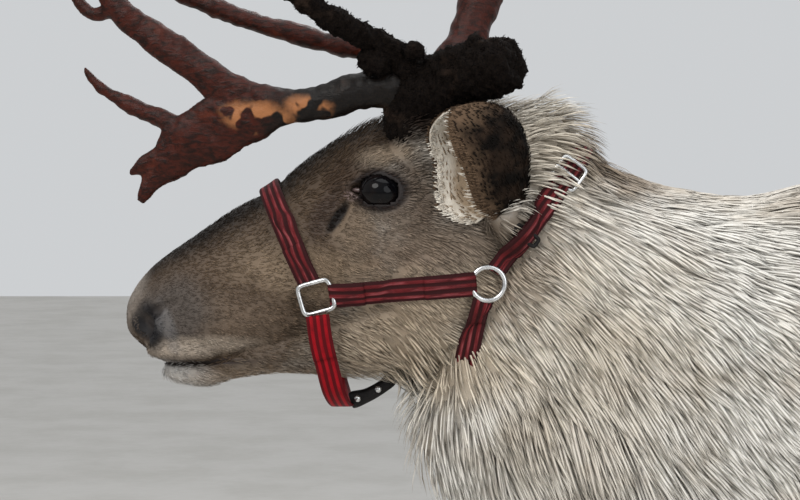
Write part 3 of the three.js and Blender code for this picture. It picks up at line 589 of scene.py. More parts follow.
def mouth_distance(points):
    """Distance from the line between the lips, on either side."""
    folded = one_side(points)
    best = np.full(len(points), 1e3)
    for p, q in zip(MOUTH[:-1], MOUTH[1:]):
        p, q = np.array(p, float), np.array(q, float)
        t = np.clip((folded - p) @ (q - p) / ((q - p) @ (q - p)), 0, 1)
        away = folded - p - t[:, None] * (q - p)
        away[:, 1] *= 0.25
        best = np.minimum(best, np.linalg.norm(away, axis=1))
    return best


# Hollows of the head: middle on one side, radii, depth and tilt
HOLLOWS = [
    ((-725, 40, 960), (8.5, 14, 13), 11.0, -0.35),
    ((-714, 47, 974), (8, 12, 5), 6.0, -0.6),
    ((-700, 49, 981), (9, 12, 3.4), 3.0, -0.3),
    ((-548, 64, 1056), (5, 16, 14), 3.4, 0.55),
    ((-590, 60, 1012), (40, 20, 14), 2.4, 0.3),
    ((-545, 40, 1110), (26, 16, 9), 1.6, 0.3),
]
FACE_BACK = -560


def sculpt_head(piece):
    """Nostrils, mouth, eyes and the hollows of the face."""
    points, normals = vertices_of(piece.data)
    front = points[:, 0] < FACE_BACK
    groove = mouth_distance(points)
    deep = 3.4 * np.exp(-((groove / 2.0) ** 2)) - 1.0 * np.exp(-(((groove - 5.0) / 2.6) ** 2))
    points = np.where(front[:, None], points - normals * deep[:, None], points)
    for sign in (-1, 1):
        for centre, radii, depth, tilt in HOLLOWS:
            at = (centre[0], sign * centre[1], centre[2])
            points = dent(points, normals, at, radii, depth, tilt)
        points = sculpt_eye(points, sign)
    set_vertices(piece.data, points)


def cut_faces(piece, keep):
    """Keeps the faces whose middle passes keep(points)."""
    mesh = piece.data
    n = len(mesh.polygons)
    centre = np.empty(n * 3)
    mesh.polygons.foreach_get("center", centre)
    kept = keep(centre.reshape(-1, 3) * 1000 - SHIFT)
    work = bmesh.new()
    work.from_mesh(mesh)
    work.faces.ensure_lookup_table()
    drop = [work.faces[i] for i in np.flatnonzero(~kept)]
    bmesh.ops.delete(work, geom=drop, context="FACES")
    work.to_mesh(mesh)
    work.free()


HEAD_CUT = unit([189, 0, -115])
NAPE = np.array([-300.0, 0, 1119])
NAPE_SEAM = 8


def behind_nape(points):
    """How far the points are behind the plane where the head's skin ends."""
    return (points - NAPE) @ HEAD_CUT


def make_skin():
    """One skin for all the flesh: fine on the head, coarser behind the neck."""
    face = remeshed("skin", head_forms(), FINE_VOXEL, 5)
    sculpt_head(face)
    cut_faces(face, lambda p: behind_nape(p) < 3 * NAPE_SEAM)
    trunk = remeshed("trunk", trunk_forms(), TRUNK_VOXEL, 5)
    cut_faces(trunk, lambda p: behind_nape(p) > NAPE_SEAM)
    work = bmesh.new()
    work.from_mesh(face.data)
    work.from_mesh(trunk.data)
    work.to_mesh(face.data)
    work.free()
    bpy.data.objects.remove(trunk)
    smooth_shading(face)
    return face


# The coat

# How the coat lies: place on one side (Y over 0), the way the hair points, length, width and lift.
# Between these places it changes smoothly.
LIE = [
    ((-738, 0, 985), (0.6, 0, 0.8), 4, 0.94, 0.12),
    ((-742, 20, 960), (0.3, 0.6, 0.3), 4, 0.94, 0.12),
    ((-640, 0, 1068), (0.9, 0, 0.43), 8, 1.22, 0.14),
    ((-580, 0, 1112), (0.9, 0, 0.43), 10, 1.37, 0.18),
    ((-520, 0, 1150), (1, 0, 0.15), 18, 1.73, 0.35),
    ((-440, 0, 1158), (1, 0, 0.25), 34, 1.98, 0.4),
    ((-715, 44, 975), (0.9, 0.1, 0.1), 4.5, 0.94, 0.12),
    ((-700, 40, 940), (0.9, 0, -0.25), 6, 1.08, 0.16),
    ((-640, 52, 985), (0.95, 0, -0.2), 8, 1.22, 0.14),
    ((-640, 30, 1055), (0.9, 0.1, 0.35), 8, 1.22, 0.14),
    ((-570, 58, 1030), (0.95, 0, -0.3), 9, 1.3, 0.15),
    ((-510, 78, 1050), (0.95, 0, -0.35), 9, 1.3, 0.15),
    ((-515, 60, 1110), (0.9, 0.2, 0.35), 9, 1.3, 0.2),
    ((-470, 80, 1000), (0.85, 0, -0.55), 15, 1.45, 0.2),
    ((-440, 75, 1085), (1, 0, -0.1), 15, 1.45, 0.25),
    ((-400, 78, 1020), (0.8, 0, -0.6), 26, 1.85, 0.25),
    ((-400, 55, 1130), (0.9, 0.2, 0.1), 34, 2, 0.6),
    ((-600, 25, 912), (1, 0, -0.15), 12, 1.44, 0.2),
    ((-695, 0, 905), (0.8, 0, -0.55), 10, 1.3, 0.25),
    ((-680, 30, 915), (0.9, 0, -0.3), 9, 1.22, 0.2),
    ((-530, 40, 915), (0.9, 0, -0.4), 17, 1.73, 0.25),
    ((-484, 28, 908), (0.35, 0, -0.9), 40, 2.6, 0.75),
    ((-360, 0, 1155), (0.9, 0, -0.3), 44, 2.6, 0.42),
    ((-350, 60, 1130), (0.85, 0.3, -0.4), 44, 2.6, 0.34),
    ((-250, 0, 1095), (0.95, 0, -0.25), 58, 3.11, 0.14),
    ((-320, 92, 1040), (0.75, 0, -0.65), 60, 2.98, 0.13),
    ((-345, 90, 950), (0.6, 0, -0.8), 74, 3.38, 0.12),
    ((-360, 80, 860), (0.35, 0, -0.93), 95, 3.12, 0.21),
    ((-466, 25, 885), (0.2, 0, -1), 50, 2.8, 0.3),
    ((-460, 0, 830), (0.25, 0, -0.97), 70, 3.2, 0.1),
    ((-390, 0, 790), (0.3, 0, -0.95), 100, 3.6, 0.14),
    ((-300, 40, 765), (0.3, 0, -0.95), 140, 4.73, 0.14),
    ((-200, 60, 710), (0.4, 0, -0.9), 120, 4.73, 0.14),
    ((-180, 130, 880), (0.7, 0, -0.7), 70, 3.78, 0.1),
    ((-50, 0, 1100), (1, 0, -0.1), 48, 4, 0.16),
    ((-60, 170, 900), (0.75, 0, -0.65), 50, 4.32, 0.14),
    ((-100, 60, 635), (0.6, 0, -0.8), 62, 4.8, 0.18),
    ((400, 0, 1088), (1, 0, 0), 44, 4.32, 0.14),
    ((350, 215, 850), (0.9, 0, -0.4), 44, 4.32, 0.13),
    ((300, 0, 565), (1, 0, -0.1), 46, 4.32, 0.16),
    ((700, 180, 950), (0.8, 0, -0.6), 42, 4.16, 0.13),
    ((880, 0, 930), (0.1, 0, -1), 40, 4, 0.16),
    ((760, 190, 720), (0.3, 0, -0.95), 34, 3.68, 0.13),
    ((700, 90, 650), (0.5, 0, -0.8), 34, 3.68, 0.14),
    ((20, 130, 640), (0.2, 0, -0.98), 30, 3.36, 0.13),
    ((20, 112, 560), (0.1, 0, -1), 20, 3.4, 0.16),
    ((8, 105, 470), (0.05, 0, -1), 15, 2.8, 0.14),
    ((6, 101, 372), (0, 0, -1), 11, 2.4, 0.14),
    ((6, 100, 250), (0, 0, -1), 10, 2.2, 0.14),
    ((8, 100, 120), (-0.1, 0, -1), 16, 2.4, 0.2),
    ((-14, 100, 60), (-0.2, 0, -1), 20, 2.4, 0.2),
    ((790, 118, 560), (0.4, 0, -0.95), 22, 3.6, 0.16),
    ((840, 108, 470), (0.1, 0, -1), 15, 2.8, 0.14),
    ((848, 105, 400), (0, 0, -1), 11, 2.4, 0.14),
    ((842, 104, 250), (0, 0, -1), 10, 2.2, 0.14),
    ((832, 104, 120), (-0.1, 0, -1), 16, 2.4, 0.2),
    ((808, 104, 60), (-0.2, 0, -1), 20, 2.4, 0.2),
    ((880, 0, 1000), (0.7, 0, -0.6), 45, 3.52, 0.16),
    ((915, 0, 930), (0.1, 0, -1), 55, 3.52, 0.12),
]
LIE_AT = np.array([row[0] for row in LIE], float)
LIE_WAY = unit(np.array([row[1] for row in LIE], float))
LIE_SIZES = np.array([row[2:] for row in LIE], float)
LIE_BATCH = 20000
LIE_BLUR = 120.0


def lie_of_coat(points):
    """The hair's way, and its length, width and lift, at each point."""
    folded = one_side(points)
    way = np.empty_like(points)
    sizes = np.empty((len(points), 3))
    for start in range(0, len(points), LIE_BATCH):
        part = slice(start, start + LIE_BATCH)
        gap = folded[part, None] - LIE_AT[None]
        weight = 1 / (np.einsum("ijk,ijk->ij", gap, gap) + LIE_BLUR) ** 2
        weight /= weight.sum(axis=1, keepdims=True)
        way[part] = weight @ LIE_WAY
        sizes[part] = weight @ LIE_SIZES
    way[:, 1] *= np.where(points[:, 1] < 0, -1.0, 1.0)
    return way, sizes


def ripple(points, scale, seed):
    """Smooth random vectors, of about unit length, that change over scale millimetres."""
    draw = np.random.default_rng(seed)
    total = np.zeros_like(points)
    for _ in range(7):
        wave = unit(draw.normal(size=3)) * (0.6 + draw.random()) / scale
        phase = draw.random(3) * 2 * np.pi
        total += 0.5 * np.sin((points @ wave)[:, None] * 2 * np.pi + phase)
    return total


def mesh_triangles(mesh):
    """The mesh's triangles, as three vertex numbers each."""
    mesh.calc_loop_triangles()
    n = len(mesh.loop_triangles)
    tris = np.empty(n * 3, dtype=np.int64)
    mesh.loop_triangles.foreach_get("vertices", tris)
    return tris.reshape(-1, 3)


def scatter(points, normals, tris, per_mm2):
    """Random places on a surface, at a density given for each triangle."""
    a, b, c = points[tris[:, 0]], points[tris[:, 1]], points[tris[:, 2]]
    area = 0.5 * np.linalg.norm(np.cross(b - a, c - a), axis=1)
    which = np.repeat(np.arange(len(tris)), RNG.poisson(area * per_mm2))
    u, v = RNG.random((2, len(which)))
    fold = u + v > 1
    u, v = np.where(fold, 1 - u, u), np.where(fold, 1 - v, v)
    weights = np.stack([1 - u - v, u, v], axis=1)
    spot = np.einsum("ij,ijk->ik", weights, points[tris[which]])
    normal = unit(np.einsum("ij,ijk->ik", weights, normals[tris[which]]))
    return spot, normal


def hair_paths(root, normal, way, length, lift, rings, sink):
    """Points along each tuft: out of the skin at a slant, then over along the coat."""
    flat = unit(way - normal * np.einsum("ij,ij->i", way, normal)[:, None])
    t = np.linspace(0, 1, rings + 1)
    rise = lift[:, None] * (1.6 * t - 0.75 * t * t) * length[:, None]
    run = length[:, None] * (t - 0.12 * t * t)
    height = rise - sink * (1 - t) ** 2
    return root[:, None] + flat[:, None] * run[..., None] + normal[:, None] * height[..., None]


def tuft_mesh(name, path, normal, width, thick=0.15):
    """Closed three-sided tufts along paths. Gives the object, its faces and the points in a tuft."""
    count, levels, _ = path.shape
    rings = levels - 1
    along_path = unit(np.gradient(path, axis=1))
    side = unit(np.cross(along_path, normal[:, None]))
    up = unit(np.cross(side, along_path))
    t = np.linspace(0, 1, levels)[:rings]
    taper = (0.72 + 1.1 * t - 1.55 * t * t)[None, :, None] * width[:, None, None]
    left = path[:, :rings] - side[:, :rings] * taper / 2
    right = path[:, :rings] + side[:, :rings] * taper / 2
    crest = path[:, :rings] + up[:, :rings] * taper * thick
    body_points = np.stack([left, right, crest], axis=2).reshape(count, rings * 3, 3)
    points = np.concatenate([body_points, path[:, -1:]], axis=1)
    per = rings * 3 + 1
    faces = [(0, 1, 2)]
    for r in range(rings - 1):
        for k in range(3):
            a, b = 3 * r + k, 3 * r + (k + 1) % 3
            faces += [(a, a + 3, b), (b, a + 3, b + 3)]
    for k in range(3):
        faces.append((3 * (rings - 1) + k, per - 1, 3 * (rings - 1) + (k + 1) % 3))
    faces = np.array(faces)
    all_faces = (faces[None] + per * np.arange(count)[:, None, None]).reshape(-1, 3)
    mesh = bpy.data.meshes.new(name)
    mesh.vertices.add(count * per)
    mesh.vertices.foreach_set("co", place(points.reshape(-1, 3)).astype(np.float32).ravel())
    mesh.loops.add(all_faces.size)
    mesh.loops.foreach_set("vertex_index", all_faces.ravel().astype(np.int32))
    mesh.polygons.add(len(all_faces))
    mesh.polygons.foreach_set("loop_start", (3 * np.arange(len(all_faces))).astype(np.int32))
    mesh.polygons.foreach_set("use_smooth", np.ones(len(all_faces), bool))
    mesh.update(calc_edges=True)
    set_layer(mesh, "tip", np.tile(np.concatenate([np.repeat(t, 3), [1.0]]), count))
    set_layer(mesh, "tone", np.repeat(RNG.random(count), per))
    return in_scene(name, mesh), all_faces, per


# Size of a tuft's patch on the bake's map
PATCH = 0.003


def bake_map(piece, faces, per, chart):
    """Gives each tuft a small patch at its root's place on the skin's own unwrap."""
    count = len(chart)
    corner = np.array([[0, 0], [1, 0], [0.5, 1]])
    shape = np.concatenate([np.tile(corner, ((per - 1) // 3, 1)), [[0.5, 0.5]]])
    rows = np.clip(np.arange(per) // 3 / max(1, per // 3), 0, 1)
    shape = shape * 0.5 + rows[:, None] * 0.5
    spot = chart[:, None] * (1 - PATCH) + shape[None] * PATCH
    uv = spot.reshape(count * per, 2)[faces.ravel()]
    layer = piece.data.uv_layers.new(name="OFBake")
    layer.data.foreach_set("uv", uv.astype(np.float32).ravel())


# The line through the middle of the body, which its unwrap goes round
CORE_X = [-745, -600, -450, -300, -100, 900]
CORE_Z = [960, 1000, 1040, 950, 860, 840]
CHART_START, CHART_LENGTH = -760, 1720
LEG_MIDDLE_Y, LEG_TOP = 104, 800
FORELEG_X, HINDLEG_X, BETWEEN_LEGS_X = 6.0, 835.0, 400


def body_chart(points):
    """The unwrap of head, neck and trunk: round the body across, and along it."""
    x, y, z = points.T
    around = 0.5 + np.arctan2(y, z - np.interp(x, CORE_X, CORE_Z)) / (2 * np.pi)
    return np.stack([np.clip(around, 0, 1), np.clip((x - CHART_START) / CHART_LENGTH, 0, 1)], axis=1)


def leg_chart(points):
    """The unwrap of the legs, side by side."""
    x, y, z = points.T
    hind = x > BETWEEN_LEGS_X
    which = 2.0 * hind + (y > 0)
    centre = np.where(hind, HINDLEG_X, FORELEG_X)
    around = 0.5 + np.arctan2(np.abs(y) - LEG_MIDDLE_Y, x - centre) / (2 * np.pi)
    return np.stack([(which + np.clip(around, 0.01, 0.99)) / 4, np.clip(z / LEG_TOP, 0, 1)], axis=1)


def clumped(path, root, cell, share):
    """Draws neighbouring tufts together towards their tips, about cell of them to a clump."""
    picks = RNG.permutation(len(root))[: max(8, int(len(root) / cell))]
    tree = KDTree(len(picks))
    for k, i in enumerate(picks):
        tree.insert(Vector(root[i]), k)
    tree.balance()
    nearest = picks[[tree.find(Vector(r))[1] for r in root]]
    t = np.linspace(0, 1, path.shape[1])[None, :, None]
    leader = path[nearest]
    return path + (leader - path) * share * t**1.3 * 0.9


# Materials


def srgb(code):
    """A colour written as six hexadecimal digits, made linear."""
    parts = [int(code[k : k + 2], 16) / 255 for k in (0, 2, 4)]
    linear = [p / 12.92 if p <= 0.04045 else ((p + 0.055) / 1.055) ** 2.4 for p in parts]
    return (*linear, 1.0)


class Shade:
    """A material's nodes, added one call at a time."""

    def __init__(self, name):
        self.material = bpy.data.materials.new(name)
        self.material.use_nodes = True
        self.tree = self.material.node_tree
        self.tree.nodes.clear()
        self.shader = self.node("ShaderNodeBsdfPrincipled")
        self.link(self.shader.outputs[0], self.node("ShaderNodeOutputMaterial").inputs[0])
        self.coords = self.node("ShaderNodeTexCoord").outputs["Object"]
        self.fields = {}

    def node(self, kind, **values):
        made = self.tree.nodes.new(kind)
        for key, value in values.items():
            setattr(made, key, value)
        return made

    def link(self, source, target):
        self.tree.links.new(source, target)

    def feed(self, socket, value):
        if isinstance(value, bpy.types.NodeSocket):
            self.link(value, socket)
        else:
            socket.default_value = value

    def math(self, operation, *values):
        made = self.node("ShaderNodeMath", operation=operation)
        for socket, value in zip(made.inputs, values):
            self.feed(socket, value)
        return made.outputs[0]

    def ramp(self, value, low, high, to_low=0.0, to_high=1.0, smooth=True):
        """The value's range low to high made to_low to to_high."""
        kind = "SMOOTHSTEP" if smooth else "LINEAR"
        made = self.node("ShaderNodeMapRange", interpolation_type=kind)
        for socket, limit in zip(made.inputs, (value, low, high, to_low, to_high)):
            self.feed(socket, limit)
        return made.outputs[0]

    def mix(self, share, a, b, blend="MIX"):
        """Colour a, going over to b by share."""
        made = self.node("ShaderNodeMix", data_type="RGBA", blend_type=blend)
        self.feed(made.inputs["Factor"], share)
        self.feed(made.inputs["A"], a)
        self.feed(made.inputs["B"], b)
        return made.outputs["Result"]

    def stretched(self, scale, source=None):
        """The source's place, stretched, for grain that runs one way."""
        made = self.node("ShaderNodeMapping")
        self.link(source or self.coords, made.inputs[0])
        made.inputs["Scale"].default_value = scale
        return made.outputs[0]

    def noise(self, scale, detail=3.0, rough=0.55, vector=None, warp=0.0):
        made = self.node("ShaderNodeTexNoise")
        self.link(vector or self.coords, made.inputs["Vector"])
        values = {"Scale": scale, "Detail": detail, "Roughness": rough, "Distortion": warp}
        for label, value in values.items():
            made.inputs[label].default_value = value
        return made.outputs[0]

    def attribute(self, name):
        return self.node("ShaderNodeAttribute", attribute_name=name).outputs["Fac"]

    def brightened(self, colour, value):
        made = self.node("ShaderNodeHueSaturation")
        self.link(value, made.inputs["Value"])
        self.link(colour, made.inputs["Color"])
        return made.outputs[0]

    def surface(self, colour, rough, specular, height=None, strength=0.0, distance=0.0):
        """Gives the material its colour, its gloss and, where there is a height, its bump."""
        self.link(colour, self.shader.inputs["Base Color"])
        self.feed(self.shader.inputs["Roughness"], rough)
        self.shader.inputs["Specular IOR Level"].default_value = specular
        if height is not None:
            bump = self.node("ShaderNodeBump")
            bump.inputs["Strength"].default_value = strength
            bump.inputs["Distance"].default_value = distance
            self.link(height, bump.inputs["Height"])
            self.link(bump.outputs[0], self.shader.inputs["Normal"])
        return self.material

    def design(self):
        """Design millimetres with both sides folded onto one."""
        if "design" in self.fields:
            return self.fields["design"]
        scaled = self.node("ShaderNodeVectorMath", operation="MULTIPLY_ADD")
        self.link(self.coords, scaled.inputs[0])
        scaled.inputs[1].default_value = (1000, 1000, 1000)
        scaled.inputs[2].default_value = tuple(-SHIFT)
        parts = self.node("ShaderNodeSeparateXYZ")
        self.link(scaled.outputs[0], parts.inputs[0])
        whole = self.node("ShaderNodeCombineXYZ")
        self.link(parts.outputs[0], whole.inputs[0])
        self.link(self.math("ABSOLUTE", parts.outputs[1]), whole.inputs[1])
        self.link(parts.outputs[2], whole.inputs[2])
        self.fields["design"] = whole.outputs[0]
        self.fields["ragged"] = self.noise(42.0, 4.0, 0.65)
        return whole.outputs[0]

    def patch(self, colour, centre, radii, to, turn, soft, ragged, strength=1.0):
        """Paints an ellipsoid, turned about Y, over the colour so far."""
        local = self.node("ShaderNodeMapping", vector_type="TEXTURE")
        self.link(self.design(), local.inputs[0])
        local.inputs["Location"].default_value = centre
        local.inputs["Rotation"].default_value = (0, turn, 0)
        local.inputs["Scale"].default_value = radii
        far = self.node("ShaderNodeVectorMath", operation="LENGTH")
        self.link(local.outputs[0], far.inputs[0])
        shaken = self.math("MULTIPLY_ADD", self.fields["ragged"], ragged, far.outputs["Value"])
        share = self.ramp(shaken, 1 + ragged / 2 + soft, 1 + ragged / 2 - soft, 0.0, strength)
        return self.mix(share, colour, srgb(to) if isinstance(to, str) else to)


# Markings of the coat, with painted shade at the nostrils and a painted highlight above the eyes among
# them: middle, radii, colour, turn about Y, softness, raggedness and, below 1, strength
MARKINGS_AND_PAINTED_LIGHT = [
    ((-640, 0, 1035), (225, 130, 160), "564739", -0.45, 0.4, 0.5),
    ((-430, 60, 1010), (80, 60, 62), "7b6a5b", 0, 0.6, 0.6, 0.9),
    ((-462, 60, 985), (60, 50, 26), "b5a48f", -0.25, 0.6, 0.6, 0.8),
    ((-520, 0, 1140), (120, 90, 42), "46382b", -0.15, 0.5, 0.6, 0.95),
    ((-640, 0, 1076), (150, 50, 30), "15100c", -0.6, 0.45, 0.6, 0.95),
    ((-600, 62, 1020), (50, 30, 26), "6f604f", 0.3, 0.6, 0.7, 0.7),
    ((-565, 64, 1008), (90, 34, 20), "917e69", 0.1, 0.6, 0.7, 0.6),
    ((-655, 55, 965), (60, 30, 26), "6b5c4e", 0.1, 0.6, 0.7, 0.8),
    ((-742, 0, 985), (22, 50, 30), "8d857d", 0, 0.5, 0.5, 0.9),
    ((-700, 50, 968), (36, 26, 40), "4d4845", 0, 0.5, 0.5, 0.8),
    ((-722, 0, 910), (62, 70, 20), "b9b8b6", 0.05, 0.4, 0.5),
    ((-680, 45, 941), (56, 24, 9), "a5998b", -0.05, 0.5, 0.4, 0.8),
    ((-590, 30, 908), (90, 60, 12), "95836f", 0, 0.6, 0.6, 0.7),
    ((-455, 50, 925), (75, 60, 36), "c4b7a3", 0, 0.6, 0.8, 0.9),
    ((-505, 55, 945), (62, 50, 36), "a3937f", -0.1, 0.6, 0.8, 0.85),
    # The nostril: dark skin, and painted shade of its hollow
    ((-722, 42, 961), (15, 16, 24), "232225", -0.35, 0.35, 0.3),
    ((-704, 48, 962), (8, 10, 26), "6d6c6d", -0.35, 0.4, 0.3, 0.6),
    # Above the eye: pale fur, and a painted highlight on the brow
    ((-508, 72, 1116), (27, 34, 8), "9a8a77", -0.1, 0.55, 0.8, 0.8),
    ((-545, 66, 1090), (18, 26, 24), "4a3a2e", 0.3, 0.5, 0.5, 0.8),
    ((-475, 80, 1075), (20, 26, 34), "5f5145", 0, 0.5, 0.5, 0.8),
    ((-534, 66, 1050), (22, 26, 20), "80705f", 0.4, 0.5, 0.5, 0.8),
    ((-560, 66, 1062), (12, 26, 26), "453830", 0.5, 0.5, 0.5, 0.9),
    ((-512, 75, 1084), (29, 20, 20), "2c2320", 0.05, 0.22, 0.2),
    ((-548, 64, 1059), (5, 16, 17), "1d1714", 0.6, 0.35, 0.3),
    ((-474, 44, 1150), (42, 44, 26), "211813", 0, 0.3, 0.5),
    ((-425, 55, 1140), (34, 50, 24), "3f3126", 0, 0.6, 0.8, 0.9),
    ((-345, 70, 1130), (60, 60, 46), "bdb3a2", 0.3, 0.7, 0.9, 0.8),
    ((-290, 20, 1108), (44, 90, 36), "6e5f4f", 0.3, 0.7, 1.2, 0.9),
    ((-398, 80, 1052), (26, 20, 34), "4a3b2f", 0, 0.6, 0.8, 0.85),
    ((-340, 95, 930), (90, 60, 130), "c9bca8", 0, 0.8, 1.2, 0.5),
    ((200, 220, 690), (420, 90, 60), "8b7b69", 0, 0.8, 0.8, 0.7),
    ((400, 0, 1110), (520, 170, 50), "a39380", 0, 0.8, 0.8, 0.7),
    ((20, 110, 380), (110, 70, 190), "645547", 0, 0.5, 0.5),
    ((830, 110, 380), (110, 70, 200), "645547", 0, 0.5, 0.5),
    ((20, 110, 240), (110, 70, 190), "55473b", 0, 0.5, 0.5),
    ((830, 110, 240), (110, 70, 200), "55473b", 0, 0.5, 0.5),
    ((0, 100, 55), (60, 60, 26), "a39685", 0, 0.5, 0.5),
    ((815, 100, 55), (60, 60, 26), "a39685", 0, 0.5, 0.5),
    ((890, 0, 950), (60, 110, 140), "e2dbd0", 0, 0.5, 0.6),
]


# Bare skin, in the same form, with painted shade in the nostrils and along the mouth's crease
BARE_SKIN_AND_PAINTED_SHADE = [
    # The nostrils: dark skin, and painted shade of their hollows
    ((-728, 38, 959), (13, 16, 15), "141214", -0.35, 0.25, 0.1),
    ((-714, 47, 974), (8, 12, 7), "1c191a", -0.6, 0.3, 0.1),
    ((-512, 75, 1084), (26, 22, 19), "1d1716", 0.05, 0.15, 0.05),
    ((-538, 68, 1079), (8, 12, 4), "7c6a66", 0.3, 0.3, 0.1),
    # The line of the mouth: dark lip skin, and painted shade in its crease
    ((-690, 30, 926), (66, 40, 3.6), "2a211d", -0.02, 0.4, 0.2),
]
# Where the brow shovel's velvet peels
PEELING = [((-618, 38, 1150), (34, 30, 14)), ((-572, 46, 1158), (22, 26, 10))]


def coat_colour(shade):
    """The markings, with their painted shade and painted highlight, the same on skin and coat."""
    broad = shade.noise(9.0, 4.0, 0.6)
    colour = shade.mix(shade.ramp(broad, 0.42, 0.72), srgb("d6d3cc"), srgb("b9b0a2"))
    for marking in MARKINGS_AND_PAINTED_LIGHT:
        colour = shade.patch(colour, *marking)
    return colour


def coat_material(name, fine, spread):
    """Hair: painted shade makes it darker at the root; its tone changes by spread from tuft to tuft."""
    shade = Shade(name)
    speckle = shade.ramp(shade.noise(fine, 2.0, 0.7), 0.4, 0.75, 0.0, 0.14 + 0.4 * spread)
    colour = shade.mix(speckle, coat_colour(shade), srgb("8a7462"), "MULTIPLY")
    light = shade.ramp(shade.attribute("tone"), 0.0, 1.0, 1 - spread, 1 + spread, smooth=False)
    # Painted shade: each tuft darkens towards its root, where the coat shades itself
    dark = shade.ramp(shade.attribute("tip"), 0.0, 0.5, 1 - 0.4 * spread, 1.02)
    colour = shade.brightened(colour, shade.math("MULTIPLY", light, dark))
    return shade.surface(colour, 0.75, 0.12)


def skin_material():
    """The skin under the coat, with the same markings, bare at nose and lids, with painted shade in the
    nostrils and the mouth's crease.
    """
    shade = Shade("skin")
    colour = shade.mix(0.3, coat_colour(shade), srgb("a08d79"), "MULTIPLY")
    for marking in BARE_SKIN_AND_PAINTED_SHADE:
        colour = shade.patch(colour, *marking)
    hair = shade.noise(1.0, 3.0, 0.6, shade.stretched((240, 900, 900)))
    pores = shade.noise(1400.0, 2.0, 0.5)
    height = shade.math("MULTIPLY_ADD", pores, 0.4, hair)
    return shade.surface(colour, 0.6, 0.3, height, 0.5, 0.0012)


def ear_material():
    """Short hair: dark on the back, browner towards the rim, pale inside along the edge."""
    shade = Shade("ear")
    noise = shade.noise(120.0, 3.0, 0.6)
    shaken = shade.math("MULTIPLY_ADD", noise, 0.35, shade.attribute("rim"))
    back = shade.mix(shade.ramp(shade.noise(60.0), 0.4, 0.7), srgb("0c0907"), srgb("271d16"))
    colour = shade.mix(shade.ramp(shaken, 0.72, 1.15), back, srgb("5d4b3b"))
    inside = shade.mix(shade.ramp(noise, 0.35, 0.7), srgb("efe9de"), srgb("cfc5b7"))
    inside = shade.mix(shade.ramp(shaken, 0.76, 0.96), srgb("a3907a"), inside)
    colour = shade.mix(shade.attribute("inner"), colour, inside)
    tone = shade.ramp(shade.attribute("tone"), 0, 1, 0.8, 1.2, smooth=False)
    return shade.surface(shade.brightened(colour, tone), 0.8, 0.08, shade.noise(900.0), 0.4, 0.001)


def antler_material(name, velvet):
    """Dark velvet, or red-brown bone with grooves and peeling patches."""
    shade = Shade(name)
    design = shade.design()
    long = shade.noise(1.0, 5.0, 0.65, shade.stretched((90, 260, 260)), 0.6)
    fine = shade.noise(700.0, 4.0, 0.6)
    blotch = shade.noise(34.0, 4.0, 0.6)
    bone = shade.mix(shade.ramp(long, 0.35, 0.66), srgb("3c150b"), srgb("180804"))
    bone = shade.mix(shade.ramp(blotch, 0.56, 0.78), bone, srgb("542415"))
    hide = shade.mix(shade.ramp(fine, 0.35, 0.7), srgb("070505"), srgb("17110d"))
    hide = shade.mix(shade.ramp(blotch, 0.55, 0.75), hide, srgb("2a201a"))
    height = shade.math("MULTIPLY_ADD", fine, 0.35, long)
    if velvet:
        return shade.surface(hide, 0.9, 0.06, height, 0.8, 0.0016)
    stem = shade.node("ShaderNodeSeparateXYZ")
    shade.link(design, stem.inputs[0])
    close = shade.math("MULTIPLY_ADD", shade.fields["ragged"], 60.0, stem.outputs[0])
    low = shade.ramp(stem.outputs[2], 1206, 1190)
    colour = shade.mix(shade.math("MULTIPLY", shade.ramp(close, -600, -560), low), bone, hide)
    peel = shade.ramp(shade.noise(46.0, 2.0, 0.5), 0.5, 0.56)
    for centre, radii in PEELING:
        place_of_peel = shade.patch((0, 0, 0, 1), centre, radii, (1, 1, 1, 1), 0.1, 0.3, 0.8)
        colour = shade.mix(shade.math("MULTIPLY", place_of_peel, peel), colour, srgb("96633f"))
    return shade.surface(colour, 0.38, 0.16, height, 0.55, 0.0016)


def eye_material():
    """A dark, wet eye with a little brown in it."""
    shade = Shade("eye")
    brown = shade.ramp(shade.noise(60.0, 2.0), 0.4, 0.7)
    return shade.surface(shade.mix(brown, srgb("060608"), srgb("120d0c")), 0.06, 0.13)


def webbing_material(name, light, dark, worn, wear):
    """Woven tape with ribs along it, painted lighter on the ribs with painted shade in the grooves between
    them, grimy, its ribs rubbed pale. UV in millimetres.
    """
    shade = Shade(name)
    uv = shade.node("ShaderNodeUVMap", uv_map="weave").outputs[0]
    parts = shade.node("ShaderNodeSeparateXYZ")
    shade.link(uv, parts.inputs[0])
    run, across = parts.outputs[0], parts.outputs[1]
    ribs = shade.math("COSINE", shade.math("MULTIPLY", across, 1.02))
    slant = shade.math("MULTIPLY", across, 3.9)
    threads = shade.math("SINE", shade.math("MULTIPLY_ADD", run, 2.6, slant))
    grime = shade.noise(46.0, 4.0, 0.7)
    # Painted light and shade: the ribs' tops get the light colour, the grooves between them the dark one
    colour = shade.mix(shade.ramp(ribs, -0.5, 0.55), srgb(dark), srgb(light))
    colour = shade.mix(shade.ramp(grime, 0.4, 0.72, 0.0, 0.75), colour, srgb(dark))
    colour = shade.mix(shade.ramp(threads, -1, 1, 0.0, 0.35), colour, srgb(dark))
    long = shade.noise(1.0, 3.0, 0.6, shade.stretched((0.035, 0.28, 1), uv))
    rubbed = shade.math("MULTIPLY", shade.ramp(long, 0.45, 0.7), shade.ramp(ribs, 0.1, 0.9))
    colour = shade.mix(shade.math("MULTIPLY", rubbed, wear), colour, srgb(worn))
    height = shade.math("ADD", shade.math("MULTIPLY", threads, 0.22), ribs)
    return shade.surface(colour, 0.75, 0.15, height, 0.55, 0.0006)


